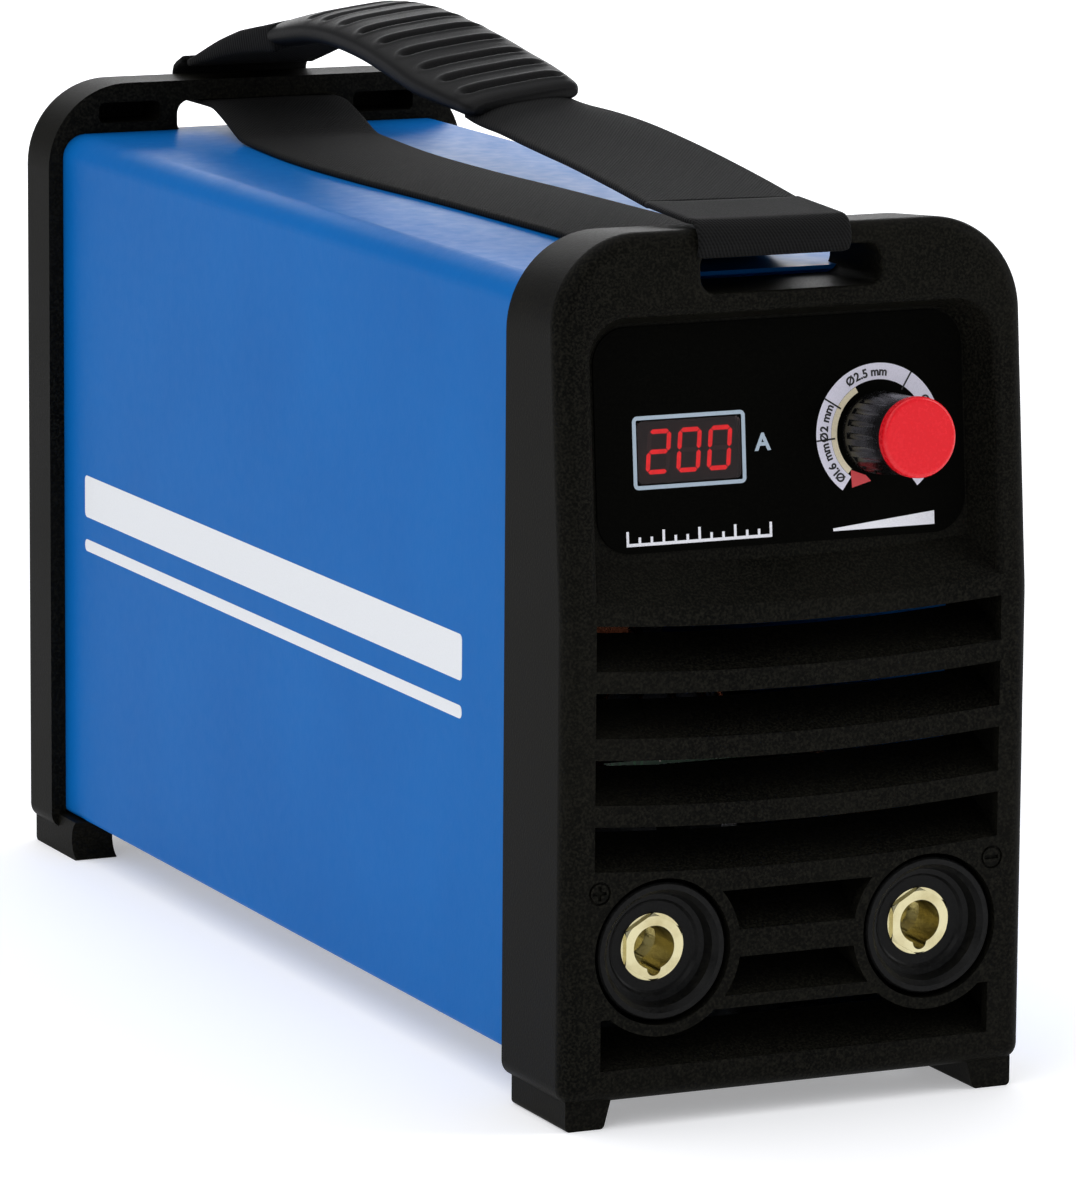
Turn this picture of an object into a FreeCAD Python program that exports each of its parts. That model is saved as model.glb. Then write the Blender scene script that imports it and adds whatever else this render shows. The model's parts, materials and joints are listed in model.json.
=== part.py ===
"""Stick welding inverter: moulded end panels, sheet cover, power electronics, fan and strap.

Millimetres.  +Z is up and the front faces -Y.  Pieces are made with y measured back from
the lower front face; save() then moves them so that the origin is under the middle of the box.
"""
import FreeCAD, Part
import math
import os
from FreeCAD import Vector

# ---- driving dimensions: outer body -------------------------------------------------------
WIDTH = 150.0
HEIGHT = 260.0            # floor to the top of the end panels
LENGTH = 435.0            # lower front face to the rear face
FOOT = 8.0                # feet below the panels
FRONT_DEPTH = 42.5        # front panel, front to back
REAR_DEPTH = 24.0         # rear panel, front to back
WALL = 3.5                # moulded wall
TOP_ROUND = 28.0          # upper corners of the end panels
BOTTOM_ROUND = 5.0
EDGE_ROUND = 5.0          # long outer edges of the end panels
MOUTH_ROUND = 1.3         # mouths of the strap slots and the recess
LEAN = math.radians(5.2)  # the upper front face leans back
KINK = 150.5              # height where the lean starts

# ---- sheet cover and base plate ------------------------------------------------------------
SHEET = 1.2
COVER_HALF = 69.8
COVER_TOP = 243.5
COVER_BOTTOM = 13.4
COVER_ROUND = 8.0
COVER_FRONT = 37.0
COVER_BACK = LENGTH - 18.0
COVER_LIP = 56.0          # inner edge of the cover's bottom flanges
SEAT_GAP = 0.15
BASE_LOW = COVER_BOTTOM + SHEET + 0.1
BASE_SHEET = 1.5
BASE_TOP = BASE_LOW + BASE_SHEET

# ---- strap slots and strap -----------------------------------------------------------------
SLOT_HALF = 29.0
SLOT_LOW = 241.4
SLOT_HIGH = 253.4
SLOT_ROUND = 4.5
STRAP_WIDTH = 50.0
STRAP = 1.8
STRAP_GAP = 0.4
GRIP_WIDTH = 40.0
GRIP_THICK = 10.0
GRIP_FRONT = 205.0
GRIP_BACK = 370.0
CORE_WIDTH = 30.0
CORE_THICK = 3.6

# ---- control recess ------------------------------------------------------------------------
RECESS_DEPTH = 11.0
RECESS_HALF = 65.2
RECESS_HIGH = 85.9        # up the leaning face, from the kink
RECESS_DRAFT = 0.45
RECESS_ROUND = 12.0
LEDGE_TOP = 154.4         # height of the ledge's front edge at its ends
LEDGE_RISE = 0.91         # the ledge climbs this much for each millimetre of depth
OVERLAY = 0.6
KNOB_X = 31.6
KNOB_W = 47.5             # height up the leaning face, from the kink
DISPLAY_X = -29.6
DISPLAY_W = 46.1
DISPLAY_SIZE = (33.0, 18.0)

# ---- louvres -------------------------------------------------------------------------------
OPENING_HALF = 65.3
OPENING_HEIGHT = 13.2
OPENING_TOPS = (148.8, 129.3, 109.7, 90.2)   # heights at the ends of each arc
SMILE_SAG = 2.7
SMILE_RADIUS = (OPENING_HALF ** 2 + SMILE_SAG ** 2) / (2 * SMILE_SAG)
BLADE_FACE = 6.4
BLADE_DEPTH = 18.6
BLADE_RISE = 8.2
BLADE_THICK = 2.2

# ---- weld sockets --------------------------------------------------------------------------
SOCKET_X = 43.3
SOCKET_Z = 51.7
LAND_RADIUS = 25.0        # flat land round each boss where it meets the vents
BOSS_RADIUS = 24.0
CUP_RADIUS = 21.7
CUP_FLOOR = 16.0
BORE_RADIUS = 6.5         # 13 mm bayonet bore for 35-50 mm2 plugs
HEX_FLATS = 17.7
HEX_FRONT = 6.0
HEX_BACK = 7.35
BARREL_RADIUS = 10.0

# ---- fan, mains switch and cable gland ------------------------------------------------------
FAN_SIZE = 92.0
FAN_DEPTH = 25.0
FAN_Z = 76.0
FAN_BORE = 44.2
FAN_HOLES = 41.25         # half the hole spacing
SWITCH_X = 33.0
SWITCH_Z = 200.0
SWITCH_TILT = 11.0        # degrees each side of level
GLAND_X = -33.0
GLAND_Z = 200.0
GLAND_REACH = 24.0

# ---- power board ---------------------------------------------------------------------------
SINK_LOW = BASE_TOP
SINK_HIGH = 88.0
SINK_FRONT = 75.0
SINK_LENGTH = 215.0
FIN_PITCH = 9.9
FIN_THICK = 2.0
FIN_COUNT = 8
BOARD_Z = 91.0
BOARD_THICK = 1.6
BOARD_HALF = 60.0
BOARD_FRONT = 70.0
BOARD_BACK = 320.0
BOARD_TOP = BOARD_Z + BOARD_THICK

# ---- how far the knob and the gland stand out of the body -----------------------------------
KNOB_FRONT = -16.1        # depth of the cap's face, along the knob's axis
CAP_RADIUS = 11.8
CAP_ROUND = 1.3
KNOB_REACH = -(KNOB_FRONT * math.cos(LEAN)
               + (KNOB_W - CAP_RADIUS + CAP_ROUND) * math.sin(LEAN))
FRONT_Y = KNOB_REACH - (LENGTH + KNOB_REACH + GLAND_REACH) / 2

X_AXIS = Vector(1, 0, 0)
Y_AXIS = Vector(0, 1, 0)
Z_AXIS = Vector(0, 0, 1)
SIDES = (-1, 1)


# ---- helpers -------------------------------------------------------------------------------
def save(name, shape):
    placed = shape.copy()
    placed.translate(Vector(0, FRONT_Y, 0))
    placed.exportStep("parts/" + name + ".step")


def fuse(pieces):
    first, *rest = pieces
    return first.multiFuse(rest).removeSplitter()


def box(x, y, z):
    """A box from three (low, high) pairs."""
    low = Vector(x[0], y[0], z[0])
    return Part.makeBox(x[1] - x[0], y[1] - y[0], z[1] - z[0], low)


def rod(radius, start, end):
    run = end - start
    return Part.makeCylinder(radius, run.Length, start, run)


def rod_y(radius, x, z, y_from, y_to):
    return rod(radius, Vector(x, y_from, z), Vector(x, y_to, z))


def rod_z(radius, x, y, z_from, z_to):
    return rod(radius, Vector(x, y, z_from), Vector(x, y, z_to))


def front_view(y):
    return lambda a, b: Vector(a, y, b)


def side_view(x):
    return lambda a, b: Vector(x, a, b)


def top_view(z):
    return lambda a, b: Vector(a, b, z)


def lean_point(x, w, depth):
    """A point on or behind the leaning face: w up the face, depth square into it."""
    y = w * math.sin(LEAN) + depth * math.cos(LEAN)
    z = KINK + w * math.cos(LEAN) - depth * math.sin(LEAN)
    return Vector(x, y, z)


def lean_view(depth):
    return lambda a, b: lean_point(a, b, depth)


LEAN_IN = lean_point(0, 0, 1) - lean_point(0, 0, 0)


def rounded_wire(points, radii, place, closed=True):
    """Straight runs joined by tangent arcs through 2-D points, placed in space."""
    count = len(points)
    corners = []
    for i in range(count):
        at = Vector(points[i][0], points[i][1], 0)
        if radii[i] == 0 or (not closed and i in (0, count - 1)):
            corners.append((at, None, at))
            continue
        back = Vector(*points[i - 1], 0) - at
        ahead = Vector(*points[(i + 1) % count], 0) - at
        back.normalize()
        ahead.normalize()
        half = back.getAngle(ahead) / 2
        reach = radii[i] / math.tan(half)
        inward = back + ahead
        inward.normalize()
        middle = at + inward * (radii[i] / math.sin(half) - radii[i])
        corners.append((at + back * reach, middle, at + ahead * reach))
    edges = []
    for i in range(count):
        start, middle, end = corners[i]
        if middle is not None:
            edges.append(Part.Arc(place(start.x, start.y), place(middle.x, middle.y),
                                  place(end.x, end.y)).toShape())
        if not closed and i == count - 1:
            break
        following = corners[(i + 1) % count][0]
        if (following - end).Length > 1e-6:
            edges.append(Part.makeLine(place(end.x, end.y), place(following.x, following.y)))
    return Part.Wire(edges)


def prism(points, radii, place, along):
    return Part.Face(rounded_wire(points, radii, place)).extrude(along)


def rectangle(a, b):
    return [(a[0], b[0]), (a[1], b[0]), (a[1], b[1]), (a[0], b[1])]


def plate(a, b, radius, place, along):
    """A rectangular plate with equal corner radii."""
    return prism(rectangle(a, b), [radius] * 4, place, along)


def hexagon(flats, start, end, turn=0.0):
    """A hexagonal bar between two points; turn is in degrees about its axis."""
    run = end - start
    bar = Part.Face(Part.makePolygon([
        Vector(math.cos(math.radians(60 * i)), math.sin(math.radians(60 * i)), 0)
        * (flats / math.sqrt(3)) for i in range(7)])).extrude(Vector(0, 0, run.Length))
    bar.rotate(Vector(), Z_AXIS, turn)
    bar.Placement = FreeCAD.Placement(start, FreeCAD.Rotation(Z_AXIS, run)) * bar.Placement
    return bar


def pan_screw(radius, head_radius, head_height, tip, seat):
    """A pan-head screw with a hexagon recess, from its tip to the face its head sits on."""
    axis = seat - tip
    axis.normalize()
    shank = rod(radius, tip, seat)
    head = rod(head_radius, seat, seat + axis * head_height)
    rim = [edge for edge in head.Edges if edge.Curve.TypeId == "Part::GeomCircle"
           and (edge.CenterOfMass - seat).Length > head_height / 2]
    head = head.makeFillet(head_height * 0.55, rim)
    drive = hexagon(radius * 1.4, seat + axis * (head_height / 2), seat + axis * (head_height + 1))
    return fuse([shank, head]).cut(drive)


# ---- end panels ----------------------------------------------------------------------------
def face_y(z):
    """How far back the front face is at a height."""
    return max(0.0, (z - KINK) * math.tan(LEAN))


def panel_outline(y, top=HEIGHT):
    half = WIDTH / 2
    points = [(-half, FOOT), (half, FOOT), (half, top), (-half, top)]
    radii = [BOTTOM_ROUND, BOTTOM_ROUND, TOP_ROUND, TOP_ROUND]
    return rounded_wire(points, radii, front_view(y))


def front_block():
    """The front panel's outline run back from its face, with a top square to the leaning face."""
    fall = math.tan(LEAN)
    crest = face_y(HEIGHT)
    ends = [panel_outline(y, HEIGHT - (y - crest) * fall) for y in (-1.0, FRONT_DEPTH)]
    return Part.makeLoft(ends, True, True)


def on_front(point):
    return point.y < face_y(point.z) + 0.2


def on_back(point):
    return point.y > LENGTH - 0.2


def edges_on(solid, on_face):
    """Edges that lie in an outer face, leaving out the fold lines across the front."""
    chosen = []
    for edge in solid.Edges:
        middle = edge.valueAt((edge.FirstParameter + edge.LastParameter) / 2)
        points = [vertex.Point for vertex in edge.Vertexes] + [middle]
        is_fold = abs(middle.x) < 1 and abs(middle.z - KINK) < 3 and edge.Length > WIDTH / 2
        if all(on_face(point) for point in points) and not is_fold:
            chosen.append((edge, middle))
    return chosen


def round_outer_edges(solid, on_face):
    """Round the outline of an end panel's outer face."""
    return solid.makeFillet(EDGE_ROUND, [edge for edge, middle in edges_on(solid, on_face)])


def round_slot_mouth(solid, on_face):
    """Round the strap slot's mouth in an end panel's outer face."""
    mouth = [edge for edge, middle in edges_on(solid, on_face)
             if abs(middle.x) < SLOT_HALF + 1.0 and SLOT_LOW - 1.0 < middle.z < SLOT_HIGH + 1.0]
    return solid.makeFillet(MOUTH_ROUND, mouth)


def rim_slot(y_from, y_to):
    """The rounded slot that the strap passes through, above the cover."""
    return plate((-SLOT_HALF, SLOT_HALF), (SLOT_LOW, SLOT_HIGH), SLOT_ROUND,
                 front_view(y_from), Y_AXIS * (y_to - y_from))


def rim_pockets(y_from, y_to):
    """Lightening pockets each side of the slot, open towards the cover."""
    return [plate(sorted((side * 35.0, side * 57.0)), (246.8, 253.6), 2.0,
                  front_view(y_from), Y_AXIS * (y_to - y_from)) for side in SIDES]


def cover_seat(y_from, y_to):
    """The space inside an end panel that the cover slides into."""
    half = COVER_HALF + SEAT_GAP
    points = [(-half, COVER_BOTTOM - 1.6), (half, COVER_BOTTOM - 1.6),
              (half, COVER_TOP + SEAT_GAP), (-half, COVER_TOP + SEAT_GAP)]
    round_top = COVER_ROUND + SEAT_GAP
    return prism(points, [2.0, 2.0, round_top, round_top],
                 front_view(y_from), Y_AXIS * (y_to - y_from))


def recess_cutter():
    """Drafted control recess with a rounded mouth, over a ledge that slopes down to the face."""
    steps = [math.radians(30 * i) for i in range(4)]
    levels = [(MOUTH_ROUND * (1 - math.cos(step)), MOUTH_ROUND * (1 - math.sin(step)))
              for step in steps]
    wires = []
    for depth, flare in [(-6.0, MOUTH_ROUND)] + levels + [(RECESS_DEPTH, 0.0)]:
        inset = RECESS_DRAFT * max(depth, 0.0)
        half = RECESS_HALF - inset + flare
        high = RECESS_HIGH - inset / 2 + flare
        wires.append(rounded_wire(rectangle((-half, half), (-6.0, high)),
                                  [3.0, 3.0, RECESS_ROUND + flare, RECESS_ROUND + flare],
                                  lean_view(depth)))
    edge = LEDGE_TOP - SMILE_SAG
    ledge = [(-12.0, edge - 12.0 * LEDGE_RISE), (30.0, edge + 30.0 * LEDGE_RISE),
             (30.0, 110.0), (-12.0, 110.0)]
    return Part.makeLoft(wires, True, True).cut(along_smile(section_face(ledge), edge))


def along_smile(section, middle_z):
    """A section in the middle plane swept along the louvres' shallow arc."""
    centre = Vector(0, 0, middle_z + SMILE_RADIUS)
    half_angle = math.degrees(math.asin((OPENING_HALF + 2.5) / SMILE_RADIUS))
    start = section.copy()
    start.rotate(centre, Y_AXIS, -half_angle)
    return start.revolve(centre, Y_AXIS, 2 * half_angle)


def blade_points(top, face=BLADE_FACE):
    """Side section of a louvre blade whose front edge is at height top."""
    low = top - face
    return [(0.6, low), (0.6, top), (BLADE_DEPTH, top + BLADE_RISE),
            (BLADE_DEPTH, top + BLADE_RISE - BLADE_THICK), (WALL + 1.0, low)]


def section_face(points):
    return Part.Face(Part.makePolygon([side_view(0)(*point) for point in points + points[:1]]))


def louvres():
    """Openings through the front wall and the sloping blades behind them."""
    openings = []
    blades = []
    inside = box((-OPENING_HALF, OPENING_HALF), (-2, 30), (FOOT, KINK + 5))
    between_walls = box((-67.2, 67.2), (0, 30), (FOOT, KINK + 20))
    for top in OPENING_TOPS:
        middle = top - SMILE_SAG
        low = middle - OPENING_HEIGHT
        window = section_face(rectangle((-1.0, WALL + 0.2), (low, middle)))
        openings.append(along_smile(window, middle).common(inside))
        blades.append(along_smile(section_face(blade_points(low)), middle).common(between_walls))
    return openings, blades


def lower_vents():
    """Two short slots between the bosses and one wide slot below them."""
    lands = [rod_y(LAND_RADIUS, side * SOCKET_X, SOCKET_Z, -5, 40) for side in SIDES]
    bosses = [rod_y(BOSS_RADIUS, side * SOCKET_X, SOCKET_Z, -5, 40) for side in SIDES]
    openings = []
    blades = []
    for half, low, high, face in ((32.0, 56.0, 68.0, BLADE_FACE), (32.0, 36.7, 48.0, 3.7),
                                  (63.0, 17.8, 33.0, BLADE_FACE)):
        slot = box((-half, half), (-1, WALL + 0.2), (low, high))
        openings.append(slot.cut(fuse(lands)))
        span = half + 3.0
        blade = section_face(blade_points(low, face))
        blade.translate(X_AXIS * -span)
        blades.append(blade.extrude(X_AXIS * 2 * span).cut(fuse(bosses)))
    return openings, blades


def socket_boss(side):
    return rod_y(BOSS_RADIUS, side * SOCKET_X, SOCKET_Z, 0.6, CUP_FLOOR + 3.0)


def socket_boss_cuts(side):
    x = side * SOCKET_X
    cup = rod_y(CUP_RADIUS, x, SOCKET_Z, -1, CUP_FLOOR)
    neck = rod_y(13.0, x, SOCKET_Z, CUP_FLOOR - 1, CUP_FLOOR + 5)
    return cup.fuse(neck)


def polarity_marks():
    """Engraved plus and minus, each in a ring, above the sockets."""
    depth = 0.8
    cuts = []
    for side in SIDES:
        x, z = side * 63.6, 70.6
        ring = rod_y(3.5, x, z, -1, depth).cut(rod_y(2.8, x, z, -2, depth + 1))
        bar = box((x - 2.2, x + 2.2), (-1, depth), (z - 0.55, z + 0.55))
        cuts += [ring, bar]
        if side < 0:
            cuts.append(box((x - 0.55, x + 0.55), (-1, depth), (z - 2.2, z + 2.2)))
    return cuts


def front_foot(side):
    points = [(side * 72.6, 0), (side * 72.6, FOOT + 1), (side * 58.0, FOOT + 1),
              (side * 60.4, 0)]
    return prism(points, [1.5, 0, 0, 1.5], front_view(3.0), Y_AXIS * 37.5)


def rear_foot(side):
    front, back = LENGTH - 41.0, LENGTH - 3.0
    upper = COVER_BOTTOM - 0.4
    points = [(back, 0), (back, FOOT + 1), (LENGTH - REAR_DEPTH + 2, FOOT + 1),
              (LENGTH - REAR_DEPTH + 2, upper), (front + 1.0, upper), (front, 0)]
    foot = prism(points, [1.5, 0, 0, 0, 0, 1.5], side_view(side * 58.0), X_AXIS * side * 14.6)
    notch = rod(7.0, Vector(-80, front - 2.4, 6.8), Vector(80, front - 2.4, 6.8))
    return foot.cut(notch)


def base_posts(y):
    """Posts under the base plate that its screws pull against."""
    return [rod_z(4.5, side * 48.0, y, FOOT + 1, BASE_LOW) for side in SIDES]


def base_screw_holes(y):
    return [rod_z(2.1, side * 48.0, y, FOOT - 1, BASE_TOP + 1) for side in SIDES]


def front_panel():
    side_points = [(0, FOOT - 1), (0, KINK), (face_y(HEIGHT + 1), HEIGHT + 1),
                   (FRONT_DEPTH, HEIGHT + 1), (FRONT_DEPTH, FOOT - 1)]
    side_profile = prism(side_points, [0, 40.0, 0, 0, 0], side_view(-WIDTH), X_AXIS * 2 * WIDTH)
    body = front_block().common(side_profile)
    body = round_outer_edges(body, on_front)
    body = body.cut(rim_slot(-5, FRONT_DEPTH + 5))
    body = round_slot_mouth(body, on_front).cut(recess_cutter())

    lower_room = box((-66.5, 66.5), (WALL, COVER_FRONT + 0.2), (FOOT + WALL, 150.0))
    upper_points = [lean_point(0, -8, RECESS_DEPTH + 3), lean_point(0, 88.0, RECESS_DEPTH + 3)]
    upper_points = [(point.y, point.z) for point in upper_points]
    upper_points += [(COVER_FRONT + 0.2, upper_points[1][1]), (COVER_FRONT + 0.2, upper_points[0][1])]
    upper_room = prism(upper_points, [0] * 4, side_view(-66.5), X_AXIS * 133.0)
    openings, blades = louvres()
    more_openings, more_blades = lower_vents()
    cuts = [lower_room, upper_room, cover_seat(COVER_FRONT, FRONT_DEPTH + 5)]
    cuts += rim_pockets(20.0, FRONT_DEPTH + 5)
    body = body.cut(cuts + openings + more_openings)
    added = blades + more_blades + [socket_boss(side) for side in SIDES]
    added += [front_foot(side) for side in SIDES] + base_posts(28.0)
    body = fuse([body] + added)
    body = body.cut([socket_boss_cuts(side) for side in SIDES] + polarity_marks())
    body = body.cut(base_screw_holes(28.0) + [display_hole(), shaft_hole(3.55)])
    return body


def rear_panel():
    inner = LENGTH - REAR_DEPTH
    body = Part.Face(panel_outline(inner)).extrude(Y_AXIS * REAR_DEPTH)
    body = round_outer_edges(body, on_back).cut(rim_slot(inner - 5, LENGTH + 5))
    body = round_slot_mouth(body, on_back)
    room = box((-66.5, 66.5), (COVER_BACK - 0.2, LENGTH - WALL), (FOOT + WALL, 238.0))
    cuts = [room, cover_seat(inner - 5, COVER_BACK)]
    cuts += rim_pockets(inner - 5, LENGTH - 8.0)
    body = body.cut(cuts)
    body = fuse([body] + [rear_foot(side) for side in SIDES] + base_posts(LENGTH - 12.0))
    cuts = base_screw_holes(LENGTH - 12.0) + fan_grille() + fan_screw_holes(2.2)
    cuts.append(box((SWITCH_X - 11.2, SWITCH_X + 11.2), (LENGTH - 5, LENGTH + 1),
                    (SWITCH_Z - 15.2, SWITCH_Z + 15.2)))
    cuts.append(rod_y(10.2, GLAND_X, GLAND_Z, LENGTH - 5, LENGTH + 1))
    return body.cut(cuts)


def fan_grille():
    """Level slots clipped to the fan's circle, leaving the hub covered."""
    slots = []
    hub = rod_y(15.0, 0, FAN_Z, LENGTH - 10, LENGTH + 5)
    circle = rod_y(42.0, 0, FAN_Z, LENGTH - WALL - 1, LENGTH + 1)
    pitch = 8.4
    for row in range(-4, 5):
        z = FAN_Z + row * pitch
        for side in SIDES:
            span = sorted((side * 1.6, side * 42.0))
            slot = box(span, (LENGTH - 6, LENGTH + 2), (z - 2.7, z + 2.7))
            slots.append(slot.common(circle).cut(hub))
    return slots


def fan_corners():
    return [(sx * FAN_HOLES, FAN_Z + sz * FAN_HOLES) for sx in SIDES for sz in SIDES]


def fan_screw_holes(radius):
    return [rod_y(radius, x, z, LENGTH - WALL - 1, LENGTH + 1) for x, z in fan_corners()]


# ---- sheet metal ---------------------------------------------------------------------------
def cover_block(inset):
    """The cover's outline run along its length, offset inwards."""
    half = COVER_HALF - inset
    points = [(-half, COVER_BOTTOM + inset), (half, COVER_BOTTOM + inset),
              (half, COVER_TOP - inset), (-half, COVER_TOP - inset)]
    low_round = 2.0 - inset
    high_round = COVER_ROUND - inset
    return prism(points, [low_round, low_round, high_round, high_round],
                 front_view(COVER_FRONT), Y_AXIS * (COVER_BACK - COVER_FRONT))


def cover():
    """Sides and top in one bend, with an inward flange along each lower edge."""
    open_bottom = box((-COVER_LIP, COVER_LIP), (0, LENGTH), (0, COVER_BOTTOM + 2 * SHEET))
    shell = cover_block(0).cut([cover_block(SHEET), open_bottom])
    return shell.cut(cover_screw_holes(2.2))


def cover_screw_spots():
    return [(side * 62.0, y) for side in SIDES for y in (110.0, 340.0)]


def cover_screw_holes(radius):
    return [rod_z(radius, x, y, COVER_BOTTOM - 5, BASE_TOP + 5) for x, y in cover_screw_spots()]


def base_plate():
    front, back = 24.0, COVER_BACK - 3.0
    sheet = plate((-66.2, 66.2), (front, back), 3.0, top_view(BASE_LOW), Z_AXIS * BASE_SHEET)
    ribs = [box(sorted((side * 64.7, side * 66.2)), (60.0, back - 20), (BASE_LOW, BASE_LOW + 12))
            for side in SIDES]
    holes = cover_screw_holes(2.05) + base_screw_holes(28.0) + base_screw_holes(LENGTH - 12.0)
    return fuse([sheet] + ribs).cut(holes)


def cover_screws():
    return [pan_screw(2.0, 3.8, 2.2, Vector(x, y, BASE_TOP + 3), Vector(x, y, COVER_BOTTOM))
            for x, y in cover_screw_spots()]


def base_screws():
    spots = [(side * 48.0, y) for side in SIDES for y in (28.0, LENGTH - 12.0)]
    return [pan_screw(2.0, 3.8, 2.2, Vector(x, y, BASE_TOP + 2), Vector(x, y, FOOT))
            for x, y in spots]


# ---- control recess pieces -----------------------------------------------------------------
def across_face(x, w, depth_from, depth_to, radius):
    """A round bar square to the leaning face."""
    return rod(radius, lean_point(x, w, depth_from), lean_point(x, w, depth_to))


def display_plate(grow, depth_from, depth_to):
    half_x = DISPLAY_SIZE[0] / 2 + grow
    half_w = DISPLAY_SIZE[1] / 2 + grow
    return plate((DISPLAY_X - half_x, DISPLAY_X + half_x), (DISPLAY_W - half_w, DISPLAY_W + half_w),
                 1.5 + grow, lean_view(depth_from), LEAN_IN * (depth_to - depth_from))


def display_hole():
    return display_plate(0.15, RECESS_DEPTH - 3, RECESS_DEPTH + 6)


def shaft_hole(radius):
    return across_face(KNOB_X, KNOB_W, RECESS_DEPTH - 3, RECESS_DEPTH + 6, radius)


def control_overlay():
    label = plate((-59.4, 59.4), (17.2, 82.4), 10.5, lean_view(RECESS_DEPTH - OVERLAY),
                  LEAN_IN * (OVERLAY - 0.02))
    return label.cut([display_hole(), shaft_hole(6.2)])


def display_window():
    return display_plate(0, RECESS_DEPTH - OVERLAY, RECESS_DEPTH + 1.4)


def display_module():
    """Case of a three-digit module behind the window."""
    half_x, half_w = 18.8, 9.5
    return plate((DISPLAY_X - half_x, DISPLAY_X + half_x), (DISPLAY_W - half_w, DISPLAY_W + half_w),
                 0.5, lean_view(RECESS_DEPTH + 3.1), LEAN_IN * 8.0)


def control_board():
    low, high = 12.0, 82.0
    front = RECESS_DEPTH + 11.3
    board = plate((-58.0, 58.0), (low, high), 2.0, lean_view(front), LEAN_IN * 1.6)
    return board.cut([across_face(x, w, front - 1, front + 3, 1.6) for x, w in control_corners()])


def control_corners():
    return [(x, w) for x in (-53.0, 53.0) for w in (18.0, 76.0)]


def control_standoffs():
    front = RECESS_DEPTH + 3.05
    return [hexagon(6.0, lean_point(x, w, front), lean_point(x, w, front + 8.2))
            for x, w in control_corners()]


def potentiometer():
    behind = RECESS_DEPTH + 3.05
    case = across_face(KNOB_X, KNOB_W, behind, behind + 8.2, 8.5)
    bushing = across_face(KNOB_X, KNOB_W, 5.5, behind + 1, 3.5)
    bore = across_face(KNOB_X, KNOB_W, 4.5, behind + 5, 3.05)
    return fuse([case, bushing]).cut(bore)


def potentiometer_nut():
    nut = hexagon(10.0, lean_point(KNOB_X, KNOB_W, 8.0), lean_point(KNOB_X, KNOB_W, 10.9))
    return nut.cut(across_face(KNOB_X, KNOB_W, 7.0, 12.0, 3.55))


def potentiometer_shaft():
    return across_face(KNOB_X, KNOB_W, -9.0, RECESS_DEPTH + 7.5, 3.0)


def knob_body():
    """Fluted skirt that tapers slightly towards the cap."""
    back, front = 9.9, KNOB_FRONT + 3.4
    base = lean_point(KNOB_X, KNOB_W, back)
    skirt = Part.makeCone(12.2, 11.3, back - front, base, LEAN_IN * -1)
    room = across_face(KNOB_X, KNOB_W, 4.9, back + 1, 8.0)
    bore = across_face(KNOB_X, KNOB_W, -9.1, back, 3.02)
    flutes = []
    for i in range(20):
        angle = math.radians(18 * i)
        x = KNOB_X + 12.6 * math.cos(angle)
        w = KNOB_W + 12.6 * math.sin(angle)
        flutes.append(across_face(x, w, front - 1, 7.2, 1.15))
    return skirt.cut([room, bore] + flutes)


def knob_cap():
    back = KNOB_FRONT + 3.35
    cap = across_face(KNOB_X, KNOB_W, back, KNOB_FRONT, CAP_RADIUS)
    face = lean_point(KNOB_X, KNOB_W, KNOB_FRONT)
    rim = [edge for edge in cap.Edges if edge.Curve.TypeId == "Part::GeomCircle"
           and (edge.Curve.Center - face).Length < 0.01]
    return cap.makeFillet(CAP_ROUND, rim)


# ---- weld sockets --------------------------------------------------------------------------
def turned(profile, x, z):
    """A solid of revolution about a socket's axis; profile is (y, radius) points."""
    points = [Vector(x + radius, y, z) for y, radius in profile]
    face = Part.Face(Part.makePolygon(points + points[:1]))
    return face.revolve(Vector(x, 0, z), Y_AXIS, 360)


def socket_insulator(side):
    """Dished flange in the boss with a threaded neck through its floor."""
    floor = CUP_FLOOR - 0.05
    hole = BARREL_RADIUS + 0.1
    profile = [(1.4, 17.7), (0.6, 18.3), (0.6, 19.8), (1.2, 20.3), (floor, 20.3),
               (floor, 12.8), (34.0, 12.8), (34.0, hole), (HEX_BACK + 0.05, hole),
               (HEX_BACK + 0.05, 13.0), (7.1, 13.6), (6.2, 14.4), (5.7, 15.9), (2.4, 16.9)]
    return turned(profile, side * SOCKET_X, SOCKET_Z)


def socket_locknut(side):
    x = side * SOCKET_X
    start = CUP_FLOOR + 3.1
    nut = hexagon(32.0, Vector(x, start, SOCKET_Z), Vector(x, start + 7, SOCKET_Z))
    return nut.cut(rod_y(12.9, x, SOCKET_Z, start - 1, start + 9))


def socket_body(side):
    """Brass insert: chamfered hexagon, keyed bayonet bore, barrel and stud."""
    x = side * SOCKET_X
    middle = Vector(x, 0, SOCKET_Z)
    front = Vector(x, HEX_FRONT, SOCKET_Z)
    hexagonal = hexagon(HEX_FLATS, front, Vector(x, HEX_BACK, SOCKET_Z), 30)
    chamfer = Part.makeCone(9.3, 11.7, 1.4, front, Y_AXIS)
    hexagonal = hexagonal.common(chamfer)
    barrel = rod_y(BARREL_RADIUS, x, SOCKET_Z, HEX_BACK - 0.05, 42.0)
    stud = rod_y(4.9, x, SOCKET_Z, 41.0, 58.0)
    bore = rod_y(BORE_RADIUS, x, SOCKET_Z, HEX_FRONT - 1, 34.0)
    key_x, key_z = (x - 2.2, x + 2.2), (SOCKET_Z - 8.4, SOCKET_Z)
    key = box(key_x, (HEX_FRONT - 1, 26.0), (SOCKET_Z - 6.2, SOCKET_Z))
    cuts = [bore, key, rod_y(2.2, x, SOCKET_Z - 6.2, HEX_FRONT - 1, 26.0)]
    for step in range(1, 5):
        catch = box(key_x, (19.0, 26.0), key_z)
        catch.rotate(middle, Y_AXIS, -22.5 * step)
        cuts.append(catch)
    return fuse([hexagonal, barrel, stud]).cut(cuts)


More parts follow.
